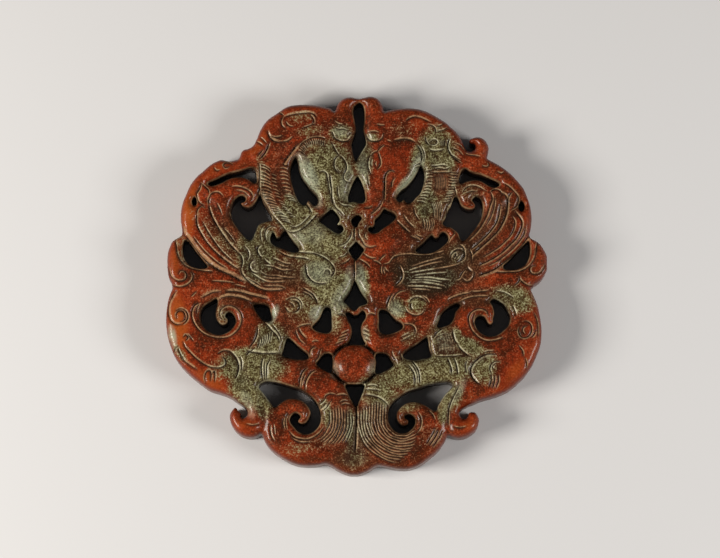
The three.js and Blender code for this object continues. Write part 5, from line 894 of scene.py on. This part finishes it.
def cut_lines():
    """Every line cut into the face, as (half width, depth, fall beside it, points)."""
    lines = []
    for text in LINES.values():
        for (half, depth, fall), points in rows(text):
            lines.append((half, depth, fall, through(points, False, STEP)))
    for count, half, depth, one, other in LADDERS.values():
        lines += [(half, depth, 0, line) for line in rungs(count, one, other)]
    for (half, depth), place in DISC_CUTS:
        lines += [(half, depth, 0, line) for line in disc_cuts(*place)]
    return [(half * CUT_WIDTH, depth * CUT_DEPTH, fall, line) for half, depth, fall, line in lines]


def beside(points, line):
    """How far points lie from a line, on which side, and how far along it."""
    best = np.full(len(points), 1e9)
    side = np.zeros(len(points))
    along = np.zeros(len(points))
    run = 0.0
    for a, b in zip(line[:-1], line[1:]):
        d = b - a
        length = np.linalg.norm(d)
        if length < 1e-9:
            continue
        rel = points - a
        t = np.clip(rel @ d / length ** 2, 0, 1)
        off = rel - t[:, None] * d
        gap = np.linalg.norm(off, axis=1)
        closer = gap < best
        best[closer] = gap[closer]
        side[closer] = np.sign(d[0] * rel[closer, 1] - d[1] * rel[closer, 0])
        along[closer] = run + t[closer] * length
        run += length
    return best, side, along, run


def rounding(share):
    """0 inside and 1 at the edge, on a quarter circle."""
    t = np.clip(share, 0, 1)
    return 1 - np.sqrt(np.maximum(0, 1 - (1 - t) ** 2))


def mound(points, x, y, long, wide, turn):
    """1 in the middle of a turned oval, falling to 0 at its edge."""
    c, s = math.cos(math.radians(turn)), math.sin(math.radians(turn))
    u = ((points[:, 0] - x) * c + (points[:, 1] - y) * s) / long
    v = (-(points[:, 0] - x) * s + (points[:, 1] - y) * c) / wide
    return np.clip(1 - u * u - v * v, 0, 1)


def patches(points, spots):
    """A soft map of the listed patches, from 0 outside them; negative patches take away."""
    most = np.zeros(len(points))
    least = np.zeros(len(points))
    for x, y, long, wide, turn, strength in spots:
        soft = mound(points, x, y, long * 1.25, wide * 1.25, turn) ** 0.8
        most = np.maximum(most, strength * soft)
        least = np.minimum(least, strength * soft)
    return most + least


def waves(points, size, seed):
    """Smooth unevenness of the ground surface."""
    return np.array([noise.noise(Vector((x / size, y / size, seed))) for x, y in points])


def lit_pale_side(line):
    """Which side of a cut has the pale edge, pale deposit with a painted highlight: the one towards the
    upper right, whose wall faces the light.
    """
    facing = (across(line) @ np.array([0.8, 0.6])).mean()
    return 1.0 if facing >= 0 else -1.0


def ground(points, depth_in):
    """The height of the face before the cuts: rounded bars, swells and hollows."""
    rise = np.full(len(points), THICK)
    rise -= EDGE[1] * rounding(depth_in / EDGE[0]) + FULLNESS[1] * rounding(depth_in / FULLNESS[0])
    for *place, lift in SWELLS.values():
        rise += lift * mound(points, *place) ** 1.5
    for (half, depth, _), spine in rows(HOLLOWS):
        gap = beside(points, through(spine, False, 0.5))[0]
        rise -= depth * np.clip(1 - (gap / half) ** 2, 0, 1) ** 2
    (high, size, seed), (low, small, other) = UNEVEN
    return rise + (high * waves(points, size, seed) + low * waves(points, small, other))


def cuts_at(points, lines):
    """At each point the depth cut away, the fall beside a cut, and how far the nearest cut
    and the nearest pale edge are."""
    cut = np.zeros(len(points))
    fall = np.zeros(len(points))
    to_cut = np.full(len(points), FAR)
    to_edge = np.full(len(points), FAR)
    for half, depth, drop, line in lines:
        reach = FALL_REACH if drop else FAR
        low, high = line.min(axis=0) - reach, line.max(axis=0) + reach
        near = np.flatnonzero(np.all((points > low) & (points < high), axis=1))
        if not len(near):
            continue
        gap, side, along, run = beside(points[near], line)
        ends = np.clip(np.minimum(along, run - along) / min(RISING[0], RISING[1] * run), 0, 1)
        strength = WEAKEST + (1 - WEAKEST) * ends
        cut[near] = np.maximum(cut[near], depth * strength * np.clip(1 - gap / half, 0, 1))
        weak = (1 - strength) * 0.12 + (0.03 if depth < SHALLOW else 0.0)
        to_cut[near] = np.minimum(to_cut[near], gap + weak)
        edge_gap = beside(points[near], line + lit_pale_side(line) * across(line) * half)[0]
        broad = max(0.0, half - BROAD) * 0.9
        to_edge[near] = np.minimum(to_edge[near], np.maximum(edge_gap - broad, 0) + weak)
        if drop:
            lower = side == np.sign(drop)
            within = (along > 0.001) & (along < run - 0.001)
            amount = abs(drop) * np.where(lower, 1.0, 0.0) * np.exp(-gap / FALL_FADE) * ends * within
            fall[near] = np.maximum(fall[near], amount)
    return cut, fall, to_cut, to_edge


def relief(points, depth_in, lines):
    """The height of the face, and how far each point is from the nearest cut and pale edge."""
    cut, fall, to_cut, to_edge = cuts_at(points, lines)
    rise = ground(points, depth_in) - fall
    r = np.hypot((points[:, 0] - BEAD["x"]) / BEAD["rx"], (points[:, 1] - BEAD["y"]) / BEAD["ry"])
    dome = BEAD["middle"] + (BEAD["top"] - BEAD["middle"]) * np.sqrt(np.maximum(0, 1 - r ** 3))
    bank = LOWEST + (rise - LOWEST) * np.clip((r - 1.0) / BEAD_BANK, 0, 1) ** 0.6
    on_bead, by_bead = r < 1.0, r < 1.05
    rise = np.where(on_bead, np.maximum(dome, LOWEST), np.where(r < 1.0 + BEAD_BANK, bank, rise))
    cut = np.where(by_bead, 0, cut)
    to_cut = np.where(by_bead, np.abs(r - 1.02) * BEAD["rx"], to_cut)
    to_edge = np.where(by_bead, FAR, to_edge)
    top = np.where(on_bead, BEAD["top"], HIGHEST)
    return np.clip(rise - cut, LOWEST - BELOW_LOWEST, top), to_cut, to_edge


def blurred(cells):
    """A grid of numbers, each mixed with its neighbours many times over."""
    for _ in range(24):
        for axis in (0, 1):
            cells = (np.roll(cells, 1, axis) + 2 * cells + np.roll(cells, -1, axis)) / 4
    return cells


def form(points, height):
    """How far each point stands over (or, negative, under) the stone round it."""
    cell, wide, reach, beyond_height, most = 0.2, 320, 32, 3.0, 0.30
    ids = np.clip(((points + reach) / cell).astype(int), 0, wide - 1)
    total = np.zeros((wide, wide))
    count = np.zeros((wide, wide))
    np.add.at(total, (ids[:, 0], ids[:, 1]), height)
    np.add.at(count, (ids[:, 0], ids[:, 1]), 1)
    cells = (np.argwhere(np.ones((wide, wide))) + 0.5) * cell - reach
    beyond = ~inside(cells, [loops[0]]).reshape(wide, wide) & (count == 0)
    total[beyond] = beyond_height
    count[beyond] = 1.0
    total, count = blurred(total), blurred(count)
    round_it = total[ids[:, 0], ids[:, 1]] / count[ids[:, 0], ids[:, 1]]
    return np.clip((height - round_it) / most, -1, 1)


def spread(sets):
    """Points kept from the sets in turn, each set with its own least spacing to those before."""
    cell = 0.25
    kept, grid = [], {}
    for points, gap in sets:
        for x, y in points:
            i, j = int(x // cell), int(y // cell)
            round_it = [spot for a in (i - 1, i, i + 1) for b in (j - 1, j, j + 1)
                        for spot in grid.get((a, b), ())]
            if all((u - x) ** 2 + (v - y) ** 2 >= gap * gap for u, v in round_it):
                kept.append((x, y))
                grid.setdefault((i, j), []).append((x, y))
    return np.array(kept)


def depth_into(points, borders):
    """How far points lie from the nearest of the borders."""
    fine = np.vstack([through(loop, True, FINE) for loop in borders])
    tree = kdtree.KDTree(len(fine))
    for k, (x, y) in enumerate(fine):
        tree.insert((x, y, 0), k)
    tree.balance()
    return np.array([tree.find((x, y, 0))[2] for x, y in points])


def inside(points, borders):
    """Whether points lie in the stone: inside the rim and outside every opening."""
    odd = np.zeros(len(points), bool)
    x, y = points.T
    for loop in borders:
        low, high = loop.min(axis=0), loop.max(axis=0)
        near = np.flatnonzero((y >= low[1]) & (y <= high[1]) & (x <= high[0]))
        px, py = x[near], y[near]
        crossed = np.zeros(len(near), bool)
        ax, ay = loop.T
        bx, by = np.roll(ax, -1), np.roll(ay, -1)
        for k in range(len(loop)):
            spans = (ay[k] > py) != (by[k] > py)
            if spans.any():
                at = ax[k] + (py - ay[k]) * (bx[k] - ax[k]) / (by[k] - ay[k])
                crossed ^= spans & (px < at)
        odd[near] ^= crossed
    return odd


def rings_of(insets, every):
    """Rows of points along all outlines, at each inset from them, with their least spacing."""
    for inset, gap in insets:
        yield np.vstack([(loop + inward(loop) * inset)[::every] for loop in loops]), gap


def rows_along(lines, shift):
    """Rows of points beside all the lines, each shifted across by its own amount."""
    return np.vstack([line[3] + across(line[3]) * shift(line) for line in lines])


def fill(step, seed):
    """A loose honeycomb of points over the whole disc."""
    local = np.random.default_rng(seed)
    xs = np.arange(-30.2, 30.2, step)
    ys = np.arange(-30.2, 30.2, step * 0.866)
    grid = np.array([(x + (step / 2 if j % 2 else 0), y) for j, y in enumerate(ys) for x in xs])
    return grid + local.uniform(-0.16, 0.16, grid.shape) * step


def skin(sets, clear):
    """Triangles over the stone seen from above, with the outlines as their border.

    The sets of points are thinned to their spacing, and kept clear of the outlines."""
    rim_points = np.vstack(loops)
    extra = spread([(rim_points, 0.0)] + sets)[len(rim_points):]
    extra = extra[depth_into(extra, loops) > clear]
    extra = extra[inside(extra, loops)]
    edges, start = [], 0
    for loop in loops:
        n = len(loop)
        edges += [(start + k, start + (k + 1) % n) for k in range(n)]
        start += n
    places = np.vstack([rim_points, extra])
    made = geometry.delaunay_2d_cdt([Vector(p) for p in places], edges, [], 0, 1e-5)
    spots = np.array([list(v) for v in made[0]])
    faces = np.array(made[2])
    of_rim = np.array([any(k < start for k in ids) for ids in made[3]])
    doubtful = np.all(of_rim[faces], axis=1)
    keep = np.ones(len(faces), bool)
    keep[doubtful] = inside(spots[faces[doubtful]].mean(axis=1), loops)
    return spots, faces[keep], np.where(of_rim, 0, depth_into(spots, loops))


def maps_at(spots, to_cut, to_edge, standing):
    """The numbers at each corner that the stone's colours go by."""
    return {"cut": to_cut, "edge": to_edge, "form": standing,
            "lip": np.minimum(depth_into(spots, loops[1:]), FAR_IN),
            "rim": np.minimum(depth_into(spots, loops[:1]), FAR_IN),
            # the "pale" map places the painted sheen
            "olive": patches(spots, OLIVE), "pale": patches(spots, PAINTED_SHEEN_PATCHES),
            # the "dusk" map places painted shade
            "warm": patches(spots, WARM), "dusk": patches(spots, PAINTED_SHADE_PATCHES)}


def write_maps(corners, maps, layers):
    """Keep the numbers on the corners of the mesh."""
    for k, v in enumerate(corners):
        for name, values in maps.items():
            v[layers[name]] = values[k]


def carve_face(bm, mesh, lines):
    """The carved face, and the layers that hold its numbers."""
    sets = [(np.vstack([line[3] for line in lines]), LINE_GAP)]
    for share in (1.0, -1.0, 2.0):
        flanks = rows_along(lines, lambda line: lit_pale_side(line[3]) * line[0] * share)
        sets.append((flanks, FLANK_GAP))
    sets += [*rings_of(RINGS, 1), (fill(FILL, 3), FILL_GAP)]
    spots, faces, depth_in = skin(sets, CLEAR)
    height, to_cut, to_edge = relief(spots, depth_in, lines)
    mesh.from_pydata(np.column_stack([spots, height]).tolist(), [], faces.tolist())
    bm.from_mesh(mesh)
    maps = maps_at(spots, to_cut, to_edge, form(spots, height))
    layers = {name: bm.verts.layers.float.new(name) for name in maps}
    write_maps(list(bm.verts), maps, layers)
    return layers


def drop_walls(bm):
    """The walls, down to the rounding of the back."""
    edge_loop = [e for e in bm.edges if e.is_boundary]
    for level in (WALL_BREAK, BACK_EDGE):
        made = bmesh.ops.extrude_edge_only(bm, edges=edge_loop)["geom"]
        edge_loop = [g for g in made if isinstance(g, bmesh.types.BMEdge) and g.is_boundary]
        for v in {v for e in edge_loop for v in e.verts}:
            v.co.z = level


def close_back(bm, layers, lines):
    """The plainer back, with only the main cuts on it."""
    main = [line for line in lines if line[1] > BACK_MAIN and len(line[3]) > BACK_LONG]
    sets = [(np.vstack([line[3] for line in main]), BACK_LINE_GAP)]
    for side in (1.0, -1.0):
        sets.append((rows_along(main, lambda line: side * BACK_GROOVE[0]), BACK_FLANK_GAP))
    sets += [*rings_of(BACK_RINGS, 2), (fill(BACK_FILL, 5), BACK_FILL_GAP)]
    spots, faces, depth_in = skin(sets, BACK_CLEAR)
    _, to_cut, to_edge = relief(spots, depth_in, main)
    groove = np.clip(1 - to_cut / BACK_GROOVE[0], 0, 1) * np.clip(depth_in / BACK_FADE, 0, 1)
    lift = BACK_EDGE * rounding(depth_in / BACK_EDGE) + BACK_GROOVE[1] * groove
    made = [bm.verts.new((x, y, z)) for (x, y), z in zip(spots, lift)]
    write_maps(made, maps_at(spots, to_cut, to_edge, np.zeros(len(spots))), layers)
    for a, b, c in faces.tolist():
        bm.faces.new((made[a], made[c], made[b]))


def stone():
    """The whole carving as one closed mesh."""
    lines = cut_lines()
    mesh = bpy.data.meshes.new("carved_stone")
    bm = bmesh.new()
    layers = carve_face(bm, mesh, lines)
    drop_walls(bm)
    close_back(bm, layers, lines)
    bmesh.ops.remove_doubles(bm, verts=bm.verts[:], dist=1e-4)
    bmesh.ops.recalc_face_normals(bm, faces=bm.faces[:])
    bmesh.ops.scale(bm, vec=(MM, MM, MM), verts=bm.verts[:])
    for f in bm.faces:
        f.smooth = True
    bm.to_mesh(mesh)
    bm.free()
    return mesh


piece = bpy.data.objects.new("carved_stone", stone())
bpy.context.scene.collection.objects.link(piece)
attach(piece, "root")
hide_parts("openwork_disc")


# The stone's colours. A ramp goes from its darkest clouds to its palest.
RED = ((0.40, (0.045, 0.007, 0.002)), (0.48, (0.100, 0.013, 0.003)),
       (0.55, (0.180, 0.019, 0.004)), (0.64, (0.285, 0.036, 0.007)))
GREEN = ((0.41, (0.016, 0.009, 0.003)), (0.465, (0.062, 0.046, 0.016)),
         (0.53, (0.150, 0.130, 0.054)), (0.60, (0.300, 0.285, 0.150)))
BROWN = ((0.40, (0.026, 0.010, 0.004)), (0.50, (0.090, 0.040, 0.016)),
         (0.60, (0.200, 0.110, 0.050)))
ORANGE = (0.340, 0.078, 0.010)
RIM_RED = (0.190, 0.020, 0.004)
# colour of the painted sheen
PAINTED_SHEEN = (0.30, 0.335, 0.235)
PAINTED_HOLLOW_SHADE = (0.018, 0.009, 0.005)
PAINTED_RIDGE_LIGHT = (0.42, 0.10, 0.02)
PAINTED_SUNK_SHADE = (0.018, 0.010, 0.005)
DARK_FLECK = (0.030, 0.012, 0.005)
CREAM_ON_RED = (0.34, 0.200, 0.100)
CREAM_ON_GREEN = (0.43, 0.40, 0.25)
CUT_SHADE = (0.030, 0.012, 0.006)
CUT_BOTTOM_SHADE = (0.014, 0.007, 0.004)
OPENING_WALL_SHADE = (0.020, 0.009, 0.005)
WALL_RED = (0.055, 0.007, 0.003)
SHEEN = (1.0, 0.80, 0.58, 1.0)
POLISH = (1.0, 0.93, 0.80, 1.0)


def node(tree, kind, inputs=None, **settings):
    """A shader node with its sockets set or linked."""
    made = tree.nodes.new(kind)
    for key, value in settings.items():
        setattr(made, key, value)
    for key, value in (inputs or {}).items():
        if isinstance(value, bpy.types.NodeSocket):
            tree.links.new(value, made.inputs[key])
        else:
            made.inputs[key].default_value = value
    return made


def jade():
    """The mottled stone: red and olive, with painted brown shade where it is sunk, painted light on ridges
    and sheens, and creamy along its cuts.
    """
    material = bpy.data.materials.new("mottled_jade")
    material.use_nodes = True
    tree = material.node_tree
    tree.nodes.clear()
    place = node(tree, "ShaderNodeTexCoord").outputs["Object"]

    def grain(scale, detail=4.0, rough=0.55, warp=0.0):
        made = node(tree, "ShaderNodeTexNoise", {"Vector": place, "Scale": scale, "Detail": detail,
                                                 "Roughness": rough, "Distortion": warp})
        return made.outputs["Fac"]

    def ramp(fac, stops):
        made = node(tree, "ShaderNodeValToRGB", {"Fac": fac})
        marks = made.color_ramp.elements
        while len(marks) < len(stops):
            marks.new(0.5)
        for mark, (at, colour) in zip(marks, stops):
            mark.position = at
            mark.color = (*colour, 1.0)
        return made.outputs["Color"]

    def span(fac, low, high, to_low=0.0, to_high=1.0):
        made = node(tree, "ShaderNodeMapRange", {"Value": fac, "From Min": low, "From Max": high,
                                                 "To Min": to_low, "To Max": to_high})
        return made.outputs["Result"]

    def calc(kind, one, other):
        return node(tree, "ShaderNodeMath", {0: one, 1: other}, operation=kind).outputs[0]

    def plus(*values):
        total = values[0]
        for value in values[1:]:
            total = calc("ADD", total, value)
        return total

    def times(*values):
        total = values[0]
        for value in values[1:]:
            total = calc("MULTIPLY", total, value)
        return total

    def swing(fac, amount):
        """The pattern about its middle, so that it adds as much as it takes away."""
        return times(calc("SUBTRACT", fac, 0.5), amount)

    def blend(fac, one, other):
        made = node(tree, "ShaderNodeMix", data_type="RGBA")
        for key, value in ((0, fac), (6, one), (7, other)):
            if isinstance(value, bpy.types.NodeSocket):
                tree.links.new(value, made.inputs[key])
            else:
                made.inputs[key].default_value = (*value, 1.0)
        return made.outputs[2]

    # reads a map stored on the corners; some of these maps place painted shade and sheen
    def corner_value(name):
        return node(tree, "ShaderNodeAttribute", attribute_name=name).outputs["Fac"]

    clouds = grain(230.0, 3.0, 0.55, 0.5)
    mottle = grain(1050.0, 5.0, 0.65, 0.3)
    speckle = grain(4000.0, 3.0, 0.7)
    warmth, standing = corner_value("warm"), corner_value("form")
    to_cut, to_lip, to_rim = corner_value("cut"), corner_value("lip"), corner_value("rim")

    # red stone, smoother and brighter where it is warm, and browner where it is not
    cloudy = plus(times(clouds, 0.5), times(mottle, 0.5))
    calm = span(warmth, 0.0, 1.0, 1.0, 0.45)
    grainy = plus(cloudy, swing(speckle, 0.45))
    red = ramp(plus(swing(grainy, calm), 0.5, times(warmth, 0.09)), RED)
    red = blend(span(warmth, 0.75, 1.35), red, ORANGE)
    brown = ramp(plus(times(mottle, 0.4), times(speckle, 0.6)), BROWN)
    red = blend(times(span(warmth, 0.0, -0.8), span(cloudy, 0.42, 0.56, 0.45, 1.0)), red, brown)
    # the outer rim is a deeper, clearer red
    colour = blend(times(span(to_rim, 1.4, 0.2), 0.6), red, RIM_RED)

    # olive stone, with ragged borders, and a painted pale sheen (highlight) where the sheen patches lie
    olive = ramp(plus(times(mottle, 0.35), times(speckle, 0.65)), GREEN)
    ragged = plus(swing(mottle, 0.9), swing(clouds, 0.8), swing(speckle, 1.3))
    is_olive = span(plus(corner_value("olive"), ragged), 0.28, 0.74)
    colour = blend(is_olive, colour, olive)
    pale = times(corner_value("pale"), span(mottle, 0.36, 0.56, 0.5, 1.0), 0.9)
    # painted highlight: the pale sheen
    colour = blend(pale, colour, PAINTED_SHEEN)

    # painted shade in the hollows and painted light on the ridges
    colour = blend(times(span(standing, 0.06, -0.65), 0.88), colour, PAINTED_HOLLOW_SHADE)
    colour = blend(times(span(standing, 0.1, 0.9), 0.05), colour, PAINTED_RIDGE_LIGHT)
    # painted shade over the sunk parts
    sunk = times(corner_value("dusk"), span(cloudy, 0.40, 0.58, 0.75, 0.40))
    colour = blend(sunk, colour, PAINTED_SUNK_SHADE)

    # dark and creamy flecks, fewer where the stone is warm
    rough_skin = span(warmth, 0.2, 1.0, 1.0, 0.35)
    colour = blend(times(span(speckle, 0.47, 0.37), 0.75, rough_skin), colour, DARK_FLECK)
    cream = blend(is_olive, CREAM_ON_RED, CREAM_ON_GREEN)
    colour = blend(times(span(speckle, 0.57, 0.68), 0.5, rough_skin), colour, cream)

    # painted shade round and in the cuts; on the side facing the light a pale edge, pale deposit with a
    # painted highlight; and the lips of the openings pale with wear and a painted glint
    shade = times(span(to_cut, 0.42, 0.05), span(mottle, 0.3, 0.6, 0.80, 0.45))
    colour = blend(shade, colour, CUT_SHADE)
    # the openings' lips: pale with wear, and a painted glint
    lip = times(span(to_lip, 0.30, 0.14), span(to_lip, 0.01, 0.06),
                span(clouds, 0.42, 0.56, 0.1, 0.9), span(mottle, 0.38, 0.54, 0.3, 0.9))
    broken = times(span(mottle, 0.36, 0.52, 0.30, 1.0), span(speckle, 0.38, 0.52, 0.45, 1.0))
    # pale deposit along a cut, with a painted highlight on its lit side
    pale_deposit_and_highlight = times(span(corner_value("edge"), 0.145, 0.05), broken)
    colour = blend(times(calc("MAXIMUM", pale_deposit_and_highlight, lip), 0.88), colour, cream)
    # painted shade at the bottom of each cut
    cut_bottom_shade = times(span(to_cut, 0.13, 0.03), span(mottle, 0.34, 0.6, 0.95, 0.6))
    colour = blend(cut_bottom_shade, colour, CUT_BOTTOM_SHADE)

    # painted shade on the walls of the openings, and a darker red down the rim's wall
    colour = blend(times(span(to_lip, 0.05, 0.0), 0.85), colour, OPENING_WALL_SHADE)
    colour = blend(times(span(to_rim, 0.55, 0.0), 0.62), colour, WALL_RED)

    bumps = plus(times(speckle, 0.7), mottle)
    bump = node(tree, "ShaderNodeBump", {"Height": bumps, "Strength": 0.45, "Distance": 0.05 * MM})
    rough = plus(span(mottle, 0.3, 0.7, 0.26, 0.44), times(span(to_cut, 0.25, 0.0), 0.35))
    gloss = span(to_cut, 0.05, 0.25, 0.0, 0.20)
    shader = node(tree, "ShaderNodeBsdfPrincipled",
                  {"Base Color": colour, "Roughness": rough, "Normal": bump.outputs["Normal"],
                   "Specular IOR Level": 0.14, "Specular Tint": SHEEN, "IOR": 1.5,
                   "Coat Weight": gloss, "Coat Roughness": 0.12, "Coat Tint": POLISH})
    node(tree, "ShaderNodeOutputMaterial", {"Surface": shader.outputs["BSDF"]})
    return material


piece.data.materials.append(jade())


def table_top():
    """The pale floor."""
    bm = bmesh.new()
    bmesh.ops.create_grid(bm, x_segments=1, y_segments=1, size=1.5)
    mesh = bpy.data.meshes.new("floor")
    bm.to_mesh(mesh)
    bm.free()
    floor = bpy.data.objects.new("floor", mesh)
    bpy.context.scene.collection.objects.link(floor)
    material = bpy.data.materials.new("pale_table")
    material.use_nodes = True
    shader = material.node_tree.nodes["Principled BSDF"]
    shader.inputs["Base Color"].default_value = (0.62, 0.60, 0.58, 1)
    shader.inputs["Roughness"].default_value = 0.85
    mesh.materials.append(material)


table_top()
LAMP_SIZE = 0.18


def lamp(name, place, power, colour=(1, 1, 1)):
    """A soft square light over the table, turned to the carving."""
    data = bpy.data.lights.new(name, "AREA")
    data.energy = power
    data.size = LAMP_SIZE
    data.color = colour
    made = bpy.data.objects.new(name, data)
    made.location = place
    made.rotation_euler = (-Vector(place)).to_track_quat("-Z", "Y").to_euler()
    bpy.context.scene.collection.objects.link(made)


lamp("left", (-0.39, -0.09, 0.25), 3.1, (1.0, 0.98, 0.95))
lamp("right", (0.40, -0.12, 0.25), 1.8)

world = bpy.data.worlds.new("room")
world.use_nodes = True
air = world.node_tree.nodes["Background"].inputs
air["Color"].default_value = (0.9, 0.93, 1.0, 1)
air["Strength"].default_value = 0.07
bpy.context.scene.world = world
bpy.context.scene.view_settings.view_transform = "Standard"

PHOTO_WIDTH = 112.5 * MM  # across the photograph at the carved face
LENS = 200.0
FILM = 36.0
ELEVATION = math.radians(83.0)
camera_data = bpy.data.cameras.new("camera")
camera_data.lens = LENS
camera_data.clip_start = 0.01
aim = Vector((0.47 * MM, 0.79 * MM, 5.4 * MM))
back_off = Vector((0, -math.cos(ELEVATION), math.sin(ELEVATION))) * (PHOTO_WIDTH * LENS / FILM)
camera = bpy.data.objects.new("camera", camera_data)
camera.location = aim + back_off
camera.rotation_euler = (-back_off).to_track_quat("-Z", "Y").to_euler()
bpy.context.scene.collection.objects.link(camera)
bpy.context.scene.camera = camera
